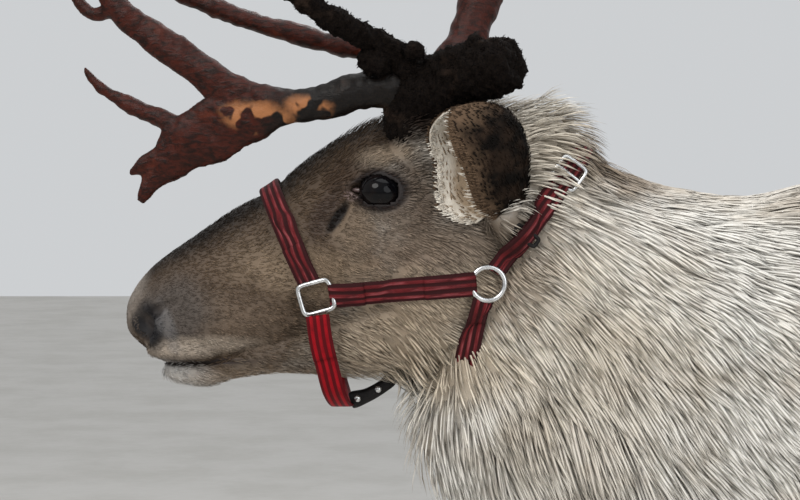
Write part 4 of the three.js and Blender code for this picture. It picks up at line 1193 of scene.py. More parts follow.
def simple_material(name, light, dark, scale, rough, metal=0.0, strength=0.3, specular=0.5):
    """A surface with blotches of two tones and a fine bump."""
    shade = Shade(name)
    blotch = shade.noise(scale, 4.0, 0.6)
    fine = shade.noise(scale * 9, 3.0, 0.6)
    colour = shade.mix(shade.ramp(blotch, 0.35, 0.7), srgb(light), srgb(dark))
    gloss = shade.ramp(fine, 0.3, 0.7, rough * 0.8, min(1, rough * 1.25))
    shade.shader.inputs["Metallic"].default_value = metal
    return shade.surface(colour, gloss, specular, fine, strength, 0.0004)


# Antlers, as in the solids: limbs of [x, y, z, half width, half thickness]

LEFT_BASE = [
    [-474, -40, 1130, 27, 27], [-474, -48, 1158, 30, 29], [-450, -62, 1180, 28, 27],
    [-420, -78, 1190, 26, 25], [-392, -92, 1197, 22, 22],
]
LEFT_KNOBS = [
    [(-514, -66, 1200), 15], [(-479, -76, 1208), 9], [(-443, -82, 1203), 13],
    [(-428, -80, 1214), 8],
]
LEFT_BROW = [
    [
        [-482, -50, 1172, 18, 16], [-512, -50, 1176, 18, 14], [-555, -48, 1164, 16, 12],
        [-591, -44, 1159, 17, 11], [-627, -38, 1153, 26, 9], [-659, -32, 1138, 29, 8],
        [-690, -28, 1121, 25, 8], [-714, -24, 1096, 13, 6], [-728, -22, 1072, 3, 3],
    ],
    [[-680, -29, 1128, 14, 7], [-716, -25, 1112, 9, 5], [-738, -22, 1097, 3, 3]],
    [
        [-655, -32, 1146, 12, 7], [-685, -28, 1142, 9, 6], [-722, -22, 1153, 8, 6],
        [-750, -18, 1166, 7, 5], [-768, -15, 1178, 5, 4], [-780, -13, 1194, 2, 2],
    ],
    [
        [-612, -40, 1155, 17, 8], [-636, -37, 1167, 17, 8], [-662, -32, 1183, 16, 8],
        [-694, -26, 1207, 15, 8], [-722, -21, 1226, 14, 8], [-745, -17, 1245, 12, 7],
        [-763, -14, 1268, 9, 6], [-777, -12, 1300, 3, 3],
    ],
    [
        [-748, -16, 1248, 6, 5], [-772, -10, 1243, 6, 5], [-786, -6, 1257, 5, 4],
        [-791, -4, 1272, 2, 2],
    ],
]
LEFT_BEZ = [
    [
        [-478, -56, 1186, 14, 13], [-494, -60, 1204, 13, 12], [-514, -68, 1217, 12, 11],
        [-541, -78, 1230, 11, 11], [-567, -90, 1245, 11, 10], [-593, -100, 1264, 11, 10],
        [-619, -112, 1289, 10, 9], [-634, -120, 1318, 9, 8], [-640, -126, 1352, 6, 5],
        [-638, -128, 1372, 2, 2],
    ],
    [[-606, -106, 1276, 9, 8], [-640, -102, 1280, 7, 6], [-668, -98, 1296, 2, 2]],
]
RIGHT_BEAM = [
    [
        [-474, 40, 1130, 27, 27], [-472, 50, 1162, 28, 27], [-448, 66, 1190, 24, 23],
        [-430, 80, 1214, 20, 20], [-423, 88, 1241, 19, 17], [-414, 98, 1268, 22, 15],
        [-404, 110, 1300, 20, 15], [-392, 124, 1335, 17, 15], [-380, 140, 1368, 16, 15],
    ],
]
RIGHT_BROW = [
    [
        [-466, 48, 1192, 12, 12], [-494, 42, 1207, 11, 11], [-539, 40, 1214, 10, 10],
        [-586, 38, 1225, 10, 9], [-623, 36, 1235, 9, 9], [-660, 35, 1249, 9, 8],
        [-688, 34, 1261, 9, 8], [-716, 33, 1276, 8, 7], [-744, 32, 1297, 7, 6],
        [-768, 31, 1323, 2, 2],
    ],
    [[-716, 33, 1276, 6, 6], [-726, 26, 1300, 6, 5], [-730, 18, 1330, 2, 2]],
]
RIGHT_BEZ = [
    [
        [-412, 102, 1290, 13, 12], [-446, 112, 1318, 13, 11], [-490, 126, 1352, 12, 10],
        [-530, 140, 1392, 14, 8], [-556, 150, 1432, 8, 6], [-568, 154, 1464, 2, 2],
    ],
    [[-524, 138, 1386, 8, 7], [-560, 132, 1398, 7, 6], [-592, 126, 1420, 2, 2]],
]
RIGHT_UPPER = [
    [
        [-388, 128, 1345, 14, 13], [-370, 158, 1400, 16, 15], [-346, 196, 1464, 15, 14],
        [-320, 230, 1532, 15, 14], [-296, 256, 1600, 15, 13], [-280, 272, 1660, 17, 12],
        [-272, 282, 1716, 21, 10],
    ],
    [[-334, 212, 1492, 10, 10], [-296, 214, 1512, 9, 9], [-262, 210, 1540, 2, 2]],
]
RIGHT_CROWN = [
    [
        [-274, 280, 1696, 16, 9], [-276, 286, 1752, 30, 9], [-300, 288, 1800, 32, 8],
        [-344, 284, 1838, 20, 7], [-394, 274, 1864, 10, 6], [-430, 264, 1886, 2, 2],
    ],
    [[-276, 286, 1756, 12, 8], [-246, 286, 1806, 10, 7], [-236, 282, 1856, 2, 2]],
    [[-300, 288, 1800, 14, 8], [-300, 286, 1850, 10, 7], [-312, 280, 1902, 2, 2]],
    [[-350, 284, 1836, 9, 6], [-364, 280, 1876, 7, 5], [-376, 274, 1908, 2, 2]],
]


# Pieces


def roughened(piece, bumps):
    """Moves the surface by smooth noise: (scale, depth) pairs, in millimetres."""
    points, normals = vertices_of(piece.data)
    for k, (scale, depth) in enumerate(bumps):
        wave = ripple(points, scale, 40 + k)[:, 0]
        points = points + normals * (depth * wave)[:, None]
    set_vertices(piece.data, points)


# Unevenness of the surface: scale and depth
VELVET_BUMPS = [(34, 1.1), (13, 0.9), (5, 0.7)]
BONE_BUMPS = [(34, 0.8), (14, 0.3)]


def make_antlers(bone, velvet):
    """The antlers' pieces by name, two of them in velvet."""
    made = {}
    for name, limbs, knobs, soft in (
        ("left_antler_base", [LEFT_BASE], LEFT_KNOBS, True),
        ("left_brow_shovel", LEFT_BROW, [], False),
        ("left_bez_tine", LEFT_BEZ, [], True),
        ("right_antler_beam", RIGHT_BEAM, [], False),
        ("right_brow_tine", RIGHT_BROW, [], False),
        ("right_bez_tine", RIGHT_BEZ, [], False),
        ("right_antler_upper", RIGHT_UPPER, [], False),
        ("right_crown", RIGHT_CROWN, [], False),
    ):
        forms = [limb(steps, sides=28, rings=12 * len(steps)) for steps in limbs]
        forms += [ball(at, (r, r * 0.9, r)) for at, r in knobs]
        piece = remeshed(name + "_bone", forms, FINE_VOXEL, 3)
        roughened(piece, VELVET_BUMPS if soft else BONE_BUMPS)
        smooth_shading(piece)
        finish_piece(piece, "velvet" if soft else "bone", velvet if soft else bone, name)
        made[name] = piece
    return made


# The ear: how far its wall turns round, its depth and half width, and how these change along it
EAR_TURN = 2.03
EAR_DEEP, EAR_WIDE = 48, 22
EAR_STOPS = [0, 0.12, 0.4, 0.7, 0.86, 0.95, 1]
EAR_WIDTHS = np.array([[0.42], [0.62], [0.95], [1], [0.78], [0.42], [0.03]])
EAR_SWELL_AT, EAR_SWELL = [0, 0.1, 0.25, 0.45, 0.6, 1], [0.6, 0.9, 1, 0.5, 0.15, 0]
EAR_LEAN_FRONT, EAR_LEAN_BACK = 30.0, 14.0
EAR_ROWS, EAR_COLUMNS = 64, 56
EAR_HAIRS = 3900


def ear_surface(length, turn):
    """A point on the middle of the ear's wall, length from 0 to 1 and turn from -1 to 1."""
    up = unit(EAR_UP)
    across = unit(np.cross(up, [-0.9, -0.25, -0.35]))
    mouth = unit(np.cross(across, up))
    width = cubic(EAR_STOPS, EAR_WIDTHS, length)[:, 0]
    angle = turn * EAR_TURN
    swell = np.interp(length, EAR_SWELL_AT, EAR_SWELL) * (1 - np.cos(np.pi * turn)) / 2
    lean = swell * np.where(turn < 0, EAR_LEAN_FRONT, EAR_LEAN_BACK)
    lean -= 9 * np.clip(np.sin(angle), 0, 1) ** 2
    return (
        EAR_ROOT
        + np.outer(EAR_LENGTH * length, up)
        + np.outer(-EAR_DEEP * width * np.cos(angle) + 8 * length * length + lean, mouth)
        + np.outer(EAR_WIDE * width * np.sin(angle), across)
    )


def make_ear(name, sign, material):
    """The ear's wall. Gives the places and the normals for its hair."""
    rows, columns = EAR_ROWS, EAR_COLUMNS
    length, turn = np.meshgrid(np.linspace(0, 1, rows), np.linspace(-1, 1, columns), indexing="ij")
    middle = ear_surface(length.ravel(), turn.ravel())
    grid = middle.reshape(rows, columns, 3)
    normal = unit(np.cross(np.gradient(grid, axis=0), np.gradient(grid, axis=1)))
    core = EAR_ROOT + np.outer(EAR_LENGTH * length.ravel(), unit(EAR_UP))
    normal *= np.sign(np.einsum("ij,ij->i", normal.reshape(-1, 3), middle - core).mean())
    edge = np.clip(1 - np.abs(turn), 0, 0.12) / 0.12 * np.clip(1.02 - length, 0.02, 0.1) / 0.1
    thick = (0.5 + 1.0 * np.sqrt(edge))[..., None]
    outer, inner = grid + normal * thick, grid - normal * thick
    points = np.concatenate([outer.reshape(-1, 3), inner.reshape(-1, 3)])
    faces = shell_faces(rows, columns)
    if sign > 0:
        points, faces = flip(points), [f[::-1] for f in faces]
    piece = new_object(name + "_shell", points, faces)
    turn_out(piece)
    rim = np.maximum(np.abs(turn), length).ravel() ** 2
    set_layer(piece.data, "rim", np.tile(rim, 2))
    set_layer(piece.data, "inner", np.repeat([0.0, 1.0], rows * columns))
    set_layer(piece.data, "tone", np.full(2 * rows * columns, 0.5))
    smooth_shading(piece)
    finish_piece(piece, "ear", material, name)
    return (grid, normal) if sign < 0 else (flip(grid), flip(normal))


def ear_coat(name, grid, normal, material, count):
    """Dark hair on the back of the ear, pale hair inside and a fringe along the edge."""
    rows, columns = grid.shape[:2]
    length, turn = RNG.random(count), RNG.uniform(-1, 1, count)
    fringe = RNG.random(count) < 0.22
    turn = np.where(fringe, np.sign(turn) * RNG.uniform(0.9, 0.99, count), turn)
    inner = RNG.random(count) < 0.42
    i = np.clip((length * (rows - 1)).astype(int), 1, rows - 2)
    j = np.clip(((turn + 1) / 2 * (columns - 1)).astype(int), 0, columns - 1)
    root, out = grid[i, j], normal[i, j]
    along_ear = unit(grid[i + 1, j] - grid[i - 1, j])
    step = np.where(turn < 0, -1, 1)
    further, nearer = (np.clip(j + k * step, 0, columns - 1) for k in (1, -1))
    outwards = unit(grid[i, further] - grid[i, nearer])
    out = out * np.where(inner, -1.0, 1.0)[:, None]
    way = along_ear + outwards * np.where(fringe, 1.3, 0.35)[:, None] + RNG.normal(0, 0.15, (count, 3))
    size = np.where(inner, 12.0, 8.0) + np.where(fringe, 3.0, 0.0)
    size *= RNG.uniform(0.7, 1.2, count) * (1 - 0.45 * length) * np.where(turn < -0.5, 0.6, 1.0)
    lift = np.where(fringe, 0.1, np.where(inner, 0.34, 0.24))
    path = hair_paths(root + out * 1.6, out, way, size, lift, 3, 0.8)
    piece, faces, per = tuft_mesh(name, path, out, RNG.uniform(0.9, 1.7, count), 0.2)
    rim = np.where(fringe, 0.95, np.maximum(np.abs(turn), length) ** 2 * 0.8)
    set_layer(piece.data, "rim", np.repeat(rim, per))
    set_layer(piece.data, "inner", np.repeat(inner, per))
    bake_map(piece, faces, per, np.stack([length, (turn + 1) / 2], axis=1))
    finish_piece(piece, "ear", material)


CARUNCLE_RADII, CARUNCLE_AT = (6.5, 2.2, 2.6), np.array([-18.5, -1.0, 3.6])


def in_eye(name, sign, at, radii, across, material, *nodes):
    """A ball in the frame of the eye: backwards along the lids, up, and out."""
    centre, *axes = eye_frame(sign)
    points, faces = ball(at, radii, across=across)
    piece = new_object(name, centre + points @ np.array(axes), faces)
    smooth_shading(piece)
    finish_piece(piece, "eye", material, *nodes)


def make_hooves(material):
    """Each hoof's halves: a loft cut flat at the cleft, with growth rings."""
    for name, stations in LEGS:
        foot = stations[-2]
        for toe, side in (("outer", np.sign(foot[2])), ("inner", -np.sign(foot[2]))):
            points, faces = leg_loft(HOOF, 0, 44, 48)
            points = points + [foot[1], foot[2], 0]
            away = (points[:, 1] - foot[2]) * side
            front = np.clip((foot[1] - points[:, 0] - 20) / 40, 0, 1)
            away = np.where(away < HOOF_CLEFT / 2, HOOF_CLEFT / 2 + 1.5 * front, away)
            points[:, 1] = foot[2] + side * away
            points[:, 2] = np.clip(points[:, 2], 0.2, HOOF_TOP)
            ridge = 0.35 * np.sin(points[:, 2] / 1.9) * (away > HOOF_CLEFT)
            centre = [foot[1], foot[2] + side * HOOF_CLEFT / 2, 0]
            points = points + unit((points - centre) * [1, 1, 0]) * ridge[:, None]
            piece = new_object(f"{name}_{toe}_hoof_horn", points, faces)
            smooth_shading(piece)
            finish_piece(piece, "hoof", material, f"{name}_{toe}_hoof")


# Halter


# Rays at the head, in millimetres: where they start beside its middle, and how far they reach
RAY_START, RAY_REACH = 260, 400
STRAP_COLUMNS = 15
STRAP_SPREAD = np.linspace(-0.5, 0.5, STRAP_COLUMNS)[:, None] * STRAP_WIDTH
WEB_THICK, CHIN_THICK = 2.6, 3.0


def strip(name, centre, out, thick, material, slot, node, folds):
    """A flat strap: rows of points, its edges rounded. folds are (first row, last row) laid on top."""
    meshes = []
    steps = np.linalg.norm(np.diff(centre[:, centre.shape[1] // 2], axis=0), axis=1)
    run = np.concatenate([[0], np.cumsum(steps)])
    layers = [(0, len(centre) - 1, 0.0)] + [(a, b, thick * 0.92) for a, b in folds]
    for first, last, lift in layers:
        rows, outs = centre[first : last + 1], out[first : last + 1]
        count, columns = rows.shape[:2]
        v = np.linspace(-1, 1, columns)
        round_off = np.sqrt(np.clip(1 - np.abs(v) ** 9, 0, 1))[None, :, None]
        ends = np.minimum(np.arange(count), np.arange(count)[::-1])
        cap = np.sqrt(np.clip(ends / 1.5, 0.05, 1))[:, None, None]
        half = thick / 2 * round_off * cap
        top, low = (rows + outs * (lift + thick / 2 + k * half) for k in (1, -1))
        points = np.concatenate([top.reshape(-1, 3), low.reshape(-1, 3)])
        weave = [np.repeat(run[first : last + 1], columns), np.tile(v * STRAP_WIDTH / 2, count)]
        uv = np.tile(np.stack(weave, axis=1), (2, 1))
        meshes.append((points, shell_faces(count, columns), uv))
    uv = np.concatenate([m[2] for m in meshes])
    piece = new_object(name, *joined([m[:2] for m in meshes]))
    turn_out(piece)
    corner = np.empty(len(piece.data.loops), dtype=np.int32)
    piece.data.loops.foreach_get("vertex_index", corner)
    layer = piece.data.uv_layers.new(name="weave")
    layer.data.foreach_set("uv", uv[corner].astype(np.float32).ravel())
    smooth_shading(piece)
    finish_piece(piece, slot, material, node)
    return piece


def softened(grid, times):
    """The rows of a grid, each drawn towards its neighbours."""
    for _ in range(times):
        inner = grid[1:-1] * 0.5 + 0.25 * (grid[:-2] + grid[2:])
        grid = np.concatenate([grid[:1], inner, grid[-1:]])
    return grid


def wrapped(tree, starts, ways, lift, soft=6):
    """Casts a grid of rays at the head: the points where the strap lies, and its way out."""
    rows, columns = starts.shape[:2]
    depth = np.full((rows, columns), np.nan)
    for i in range(rows):
        for j in range(columns):
            hit = tree.ray_cast(Vector(place(starts[i, j])), Vector(ways[i, j]), RAY_REACH / 1000)
            if hit[0] is not None:
                depth[i, j] = hit[3] * 1000
    for j in range(columns):
        known = np.flatnonzero(~np.isnan(depth[:, j]))
        depth[:, j] = np.interp(np.arange(rows), known, depth[known, j])
    smooth = softened(depth, soft)
    depth = np.minimum(smooth, depth + 0.6)
    flat = depth.mean(axis=1, keepdims=True)
    depth = np.minimum(depth, flat * 0.55 + depth * 0.45 + 0.8)
    spots = starts + ways * depth[..., None]
    run = unit(np.gradient(spots, axis=0))
    side = unit(np.gradient(spots, axis=1))
    out = unit(np.cross(run, side))
    out *= np.sign(np.einsum("ijk,ijk->ij", out, -ways))[..., None]
    lifts = lift if np.isscalar(lift) else np.asarray(lift)[:, None, None]
    return spots + out * lifts, out


def around(a, b, back, first, last, rows):
    """Rays towards the head in the upright plane through a and b, from angle first to last."""
    up = unit(b - a)
    across = unit(np.cross(up, [0, 1, 0]))
    middle = a + up * back
    angle = np.radians(np.linspace(first, last, rows))
    ray = np.cos(angle)[:, None] * up + np.sin(angle)[:, None] * np.array([0, 1.0, 0])
    starts = middle + ray[:, None] * RAY_START + (STRAP_SPREAD * across)[None]
    return starts, np.repeat(-ray[:, None], STRAP_COLUMNS, axis=1)


def beside(a, b, sign, rows):
    """Rays at one side of the head, along the line from a to b."""
    across = unit(np.cross(unit(b - a), [0, 1, 0]))
    middle = a + np.linspace(0, 1, rows)[:, None] * (b - a)
    starts = middle[:, None] + (STRAP_SPREAD * across)[None] + np.array([0, sign * RAY_START, 0])
    return starts, np.tile(np.array([0, -float(sign), 0]), (rows, STRAP_COLUMNS, 1))


def ribbon_rows(points, outward, count):
    """Rows for a free strap through points, which outward turns away from the chin."""
    rows = along(np.asarray(points, float), count)
    ahead = unit(np.gradient(rows, axis=0))
    out = unit(np.array([outward(p) for p in rows]))
    side = unit(np.cross(out, ahead))
    out = unit(np.cross(ahead, side))
    grid = rows[:, None] + STRAP_SPREAD[None] * side[:, None]
    return grid, np.repeat(out[:, None], STRAP_COLUMNS, axis=1)


RING_TURNS, RING_SIDES = 72, 14


def ring_piece(name, tree, at, sign, along_way, lift, size, square, tube, material, node, bar=False):
    """A ring on the side of the head: a torus, or one with square corners, and a bar across it."""
    start = Vector(place([at[0], sign * RAY_START, at[2]]))
    hit = tree.ray_cast(start, Vector((0, -sign, 0)), RAY_REACH / 1000)
    spot = np.array(hit[0]) * 1000 - SHIFT
    out = unit(np.array([0, sign * 1.0, 0]) * 0.75 + 0.25 * unit(np.array(hit[1])))
    side = unit(np.cross(out, np.array(along_way, float)))
    long = unit(np.cross(side, out))
    turns, sides = RING_TURNS, RING_SIDES
    angle = 2 * np.pi * np.arange(turns) / turns
    power = 0.32 if square else 1.0
    u, v = (
        reach / 2 * np.sign(wave) * np.abs(wave) ** power
        for reach, wave in zip(size, (np.cos(angle), np.sin(angle)))
    )
    centre = spot + out * lift + u[:, None] * long + v[:, None] * side
    ahead = unit(np.roll(centre, -1, axis=0) - np.roll(centre, 1, axis=0))
    wide = unit(np.cross(out, ahead))
    turn = 2 * np.pi * np.arange(sides) / sides
    points = (
        centre[:, None]
        + tube * np.cos(turn)[None, :, None] * wide[:, None]
        + tube * np.sin(turn)[None, :, None] * out
    )
    faces = []
    for i in range(turns):
        for j in range(sides):
            a, b = i * sides + j, i * sides + (j + 1) % sides
            c, d = (a + sides) % (turns * sides), (b + sides) % (turns * sides)
            faces.append([a, b, d, c])
    forms = [(points.reshape(-1, 3), faces)]
    if bar:
        ends = [spot + out * lift + s * side * size[1] / 2 for s in (-1, 1)]
        forms.append(limb([[*end, tube * 0.8, tube * 0.8] for end in ends], thin=tuple(out), rings=12))
    piece = new_object(name, *joined(forms))
    turn_out(piece)
    smooth_shading(piece)
    finish_piece(piece, "steel", material, node)


# The chin strap's left half, from the square ring down, the jaw strap and its rivets
CHIN_DOWN = [[-566, -66, 972], [-563, -64, 950], [-557, -58, 924], [-552, -48, 903], [-547, -28, 890]]
CHIN_LOWEST = [-545, 0, 886]
CHIN_CENTRE_Z = 955
RIVET_RADII = (3.1, 2.2, 3.1)
JAW_STRAP = [[-537, 0, 888, 7.5, 4], [-522, 0, 893, 6.5, 5], [-508, 0, 901, 6, 4.5], [-500, 0, 908, 6, 4]]
RIVETS = [(-531, -7, 890.5), (-531, 7, 890.5), (-512, -6, 899)]
THROAT_PIVOT = CHEEK_RING + [-10, 0, -38]
UPHILL = POLL_TOP - CHEEK_RING


def on_crown(z):
    """The crown strap's middle at height z."""
    return CHEEK_RING + UPHILL * (z - CHEEK_RING[2]) / UPHILL[2]


def make_halter(tree, shades):
    """The straps, laid on the skin at the height of the coat, with their rings. Gives the straps."""
    web, red, steel, leather = (shades[k] for k in ("webbing", "webbing_red", "steel", "leather"))
    straps = []

    def lay(name, node, rays, lift, folds, soft=6):
        grid = wrapped(tree, *rays, lift, soft)
        straps.append(strip(name, *grid, WEB_THICK, web, "webbing", node, folds))

    rays = around(RING_HOLD, BRIDGE_TOP, 42, -117, 117, 110)
    lay("noseband_web", "noseband", rays, 3.4, [(0, 16), (93, 109)])
    rays = around(CHEEK_RING, POLL_TOP, 46, -118, 118, 140)
    lift = np.interp(np.abs(np.linspace(-118, 118, 140)), [0, 40, 70, 118], [0, 3, 6, 5])
    lay("crown_web", "crown_strap", rays, lift, [(0, 30), (109, 139)], 10)
    for name, sign in SIDES:
        rays = beside(RING_HOLD + [12, 0, 2], CHEEK_RING + [-11, 0, 0], sign, 80)
        lay(f"{name}_cheek_web", f"{name}_cheek_strap", rays, 3.6, [(0, 19), (52, 79)])
        rays = around(THROAT_PIVOT, CHEEK_RING, 10, sign * 76, sign * 152, 50)
        lift = np.interp(np.arange(50), [0, 18, 32, 49], [5.5, 4, -1, -9])
        lay(f"{name}_throat_web", f"{name}_throat_strap", rays, lift, [(0, 13)], 10)
        for kind, at, way, height, size, square, tube in (
            ("square", RING_HOLD, (0.9, 0, 0.25), 7.0, (29, 27), True, 2.3),
            ("round", CHEEK_RING, (1, 0, 0), 7.5, (30, 30), False, 2.5),
        ):
            piece, node = f"{name}_{kind}_steel", f"{name}_{kind}_ring"
            ring_piece(piece, tree, at, sign, way, height, size, square, tube, steel, node)
    for piece, z, height, size, tube, shade, node, bar in (
        ("crown_buckle_steel", 1098, 9, (24, 25), 1.7, steel, "crown_buckle", True),
        ("crown_keeper_web", 1045, 7, (9, 24), 1.8, leather, "crown_keeper", False),
    ):
        ring_piece(piece, tree, on_crown(z), -1, UPHILL, height, size, True, tube, shade, node, bar)
    chain = [*CHIN_DOWN, CHIN_LOWEST, *flip(CHIN_DOWN)[::-1].tolist()]
    grid = ribbon_rows(chain, lambda p: [0.0, p[1], p[2] - CHIN_CENTRE_Z], 90)
    folds = [(0, 14), (75, 89)]
    straps.append(strip("chin_web", *grid, CHIN_THICK, red, "webbing_red", "chin_strap", folds))
    jaw = new_object("jaw_leather", *limb(JAW_STRAP, sides=24, rings=48))
    smooth_shading(jaw)
    finish_piece(jaw, "leather", leather, "jaw_strap")
    for k, at in enumerate(RIVETS):
        rivet = new_object(f"jaw_rivet_{k}", *ball(at, RIVET_RADII, across=20))
        smooth_shading(rivet)
        finish_piece(rivet, "steel", steel)
    return straps


# Growing the coat


def tree_of(pieces):
    """The pieces' faces, for rays and distances."""
    points, faces, base = [], [], 0
    for piece in pieces:
        mesh = piece.data
        points += [Vector(v.co) for v in mesh.vertices]
        faces += [tuple(base + k for k in p.vertices) for p in mesh.polygons]
        base += len(mesh.vertices)
    return BVHTree.FromPolygons(points, faces)


# No hair grows in the nostrils (middle and radii), at the lips, on the antlers' stumps and below the hoof
NOSTRILS = [((-725, 40, 960), (9.5, 16, 13)), ((-714, 47, 974), (8, 14, 5))]
LIPS_BARE, LIPS_BACK = 2.2, -630
STUMP, STUMP_BARE = np.array([-474, 46, 1150]), 29
HOOF_HAIR_LINE = 52


def bare(points):
    """True where no hair grows."""
    folded = one_side(points)
    centre, back, up, aim = eye_frame(1)
    local = folded - centre
    a, b, c = local @ back, local @ up, local @ aim
    gone = (lid_share(a, b) < 1.14) & (np.abs(c) < 40) & (np.abs(a) < 40)
    for at, radii in NOSTRILS:
        gone |= np.linalg.norm((folded - at) / radii, axis=1) < 1.05
    gone |= (mouth_distance(points) < LIPS_BARE) & (points[:, 0] < LIPS_BACK)
    near_stump = np.linalg.norm((folded - STUMP) * [1, 1, 0.6], axis=1) < STUMP_BARE
    gone |= near_stump & (folded[:, 2] > STUMP[2])
    return gone | (points[:, 2] < HOOF_HAIR_LINE)


# In metres: how near a strap presses a tuft down, and how far under the tuft that strap may be
PRESS_NEAR, PRESS_UNDER = 0.0058, 0.004
PRESSED_FLAT = 0.4


def pressed(path, normal, straps):
    """1 for a tuft free of the straps, less for one that passes under one."""
    free = np.ones(len(path))
    near = np.flatnonzero((path[:, 0, 0] < -280) & (path[:, 0, 2] > 860))
    for k in near:
        for t in (0, path.shape[1] // 2, path.shape[1] - 1):
            spot = place(path[k, t])
            hit = straps.find_nearest(Vector(spot), PRESS_NEAR)[0]
            if hit is not None and (np.array(hit) - spot) @ normal[k] > -PRESS_UNDER:
                free[k] = PRESSED_FLAT
                break
    return free


# How far below the skin each tuft starts, in millimetres
HAIR_SINK = 1.2


def grow(name, region, coverage, rings, slot, material, chart, share, cell):
    """One coat piece over the skin's triangles whose middle passes region."""
    middle = SKIN_POINTS[SKIN_TRIS].mean(axis=1)
    wanted = region(middle)
    _, sizes = lie_of_coat(middle[wanted])
    density = coverage / (sizes[:, 0] * sizes[:, 1])
    spot, normal = scatter(SKIN_POINTS, SKIN_NORMALS, SKIN_TRIS[wanted], density)
    keep = ~bare(spot)
    spot, normal = spot[keep], normal[keep]
    count = len(spot)
    way, sizes = lie_of_coat(spot)
    way = unit(way) + 0.10 * ripple(spot, 60, 3) + 0.05 * ripple(spot, 17, 4)
    way += RNG.normal(0, 0.06, (count, 3))
    length = sizes[:, 0] * RNG.uniform(0.72, 1.18, count)
    lift = sizes[:, 2] * RNG.uniform(0.75, 1.3, count)
    path = hair_paths(spot, normal, way, length, lift, rings, HAIR_SINK)
    free = pressed(path, normal, COVER)
    path = hair_paths(spot, normal, way, length * (0.8 + 0.2 * free), lift * free, rings, HAIR_SINK)
    if share:
        path = clumped(path, spot, cell, share)
    width = sizes[:, 1] * RNG.uniform(0.7, 1.25, count)
    piece, faces, per = tuft_mesh(name, path, normal, width)
    bake_map(piece, faces, per, chart(spot))
    finish_piece(piece, slot, material)


# Height of the trunk coat's lower edge, and where along the body the neck's coat ends
LEGS_BELOW = 560
NECK_END = -110


def cheeks(p):
    """The head behind the face, down to the seam at the nape."""
    return (p[:, 0] >= -490) & (behind_nape(p) < NAPE_SEAM)


def above(lowest, low, high):
    """The part above a height, between two places along the body."""
    return lambda p: (p[:, 0] >= low) & (p[:, 0] < high) & (p[:, 2] > lowest)


def leg_part(low, high):
    """The legs between two places along the body."""
    return lambda p: (p[:, 0] >= low) & (p[:, 0] < high) & (p[:, 2] <= LEGS_BELOW)


def neck_part(low, high):
    """The neck between two heights."""
    return lambda p: (
        (behind_nape(p) >= NAPE_SEAM) & (p[:, 0] < NECK_END) & (p[:, 2] >= low) & (p[:, 2] < high)
    )


def velvet_fuzz(piece, material, per_mm2):
    """Short dark hair on the velvet."""
    points, normals = vertices_of(piece.data)
    spot, normal = scatter(points, normals, mesh_triangles(piece.data), per_mm2)
    count = len(spot)
    way = ripple(spot, 30, 9) + RNG.normal(0, 0.3, (count, 3)) + [-0.4, 0, 0.3]
    path = hair_paths(spot, normal, way, RNG.uniform(2.5, 5.0, count), np.full(count, 0.5), 2, 0.5)
    fuzz, faces, per = tuft_mesh(piece.name + "_fuzz", path, normal, RNG.uniform(0.7, 1.3, count))
    bake_map(fuzz, faces, per, np.clip((spot - spot.min(axis=0)) / np.ptp(spot, axis=0), 0, 1)[:, [0, 2]])
    finish_piece(fuzz, "velvet", material)


# Assembly

SKIN_SHADE = skin_material()
FACE_SHADE = coat_material("face_hair", 160.0, 0.3)
FUR_SHADE = coat_material("coat_hair", 60.0, 0.07)
EAR_SHADE = ear_material()
HALTER_SHADES = {
    "webbing": webbing_material("webbing", "651b1f", "2b0b0d", "9c5357", 0.6),
    "webbing_red": webbing_material("webbing_red", "930413", "4c0209", "b01a26", 0.3),
    "steel": simple_material("steel", "d4d5d6", "a9a9a8", 90, 0.26, 1.0, 0.12),
    "leather": simple_material("leather", "0b0909", "171212", 60, 0.55, specular=0.2),
}
SKIN = make_skin()
FLESH = [f"{name}_{half}" for name, _ in LEGS for half in ("upper", "lower")]
finish_piece(SKIN, "face", SKIN_SHADE, "head", "neck", "torso", "tail", *FLESH)
VELVET = antler_material("velvet", True)
ANTLERS = make_antlers(antler_material("bone", False), VELVET)
for name, sign in SIDES:
    ear = make_ear(f"{name}_ear", sign, EAR_SHADE)
    ear_coat(f"{name}_ear_hair", *ear, EAR_SHADE, EAR_HAIRS)
EYE_SHADE = eye_material()
PINK = simple_material("caruncle", "5c4c4a", "3b2f2e", 200, 0.3)
for name, sign in SIDES:
    in_eye(f"{name}_eyeball", sign, (0, 0, 0), EYE_RADII, 64, EYE_SHADE, f"{name}_eye")
    in_eye(f"{name}_caruncle", sign, CARUNCLE_AT, CARUNCLE_RADII, 24, PINK)
make_hooves(simple_material("hoof", "2f2a27", "4b423b", 40, 0.5))
COVER = tree_of(make_halter(tree_of([SKIN]), HALTER_SHADES))

SKIN_POINTS, SKIN_NORMALS = vertices_of(SKIN.data)
SKIN_TRIS = mesh_triangles(SKIN.data)
FACE = ("face", FACE_SHADE, body_chart)
COAT = ("coat", FUR_SHADE, body_chart)
LEG = ("leg", FUR_SHADE, leg_chart)

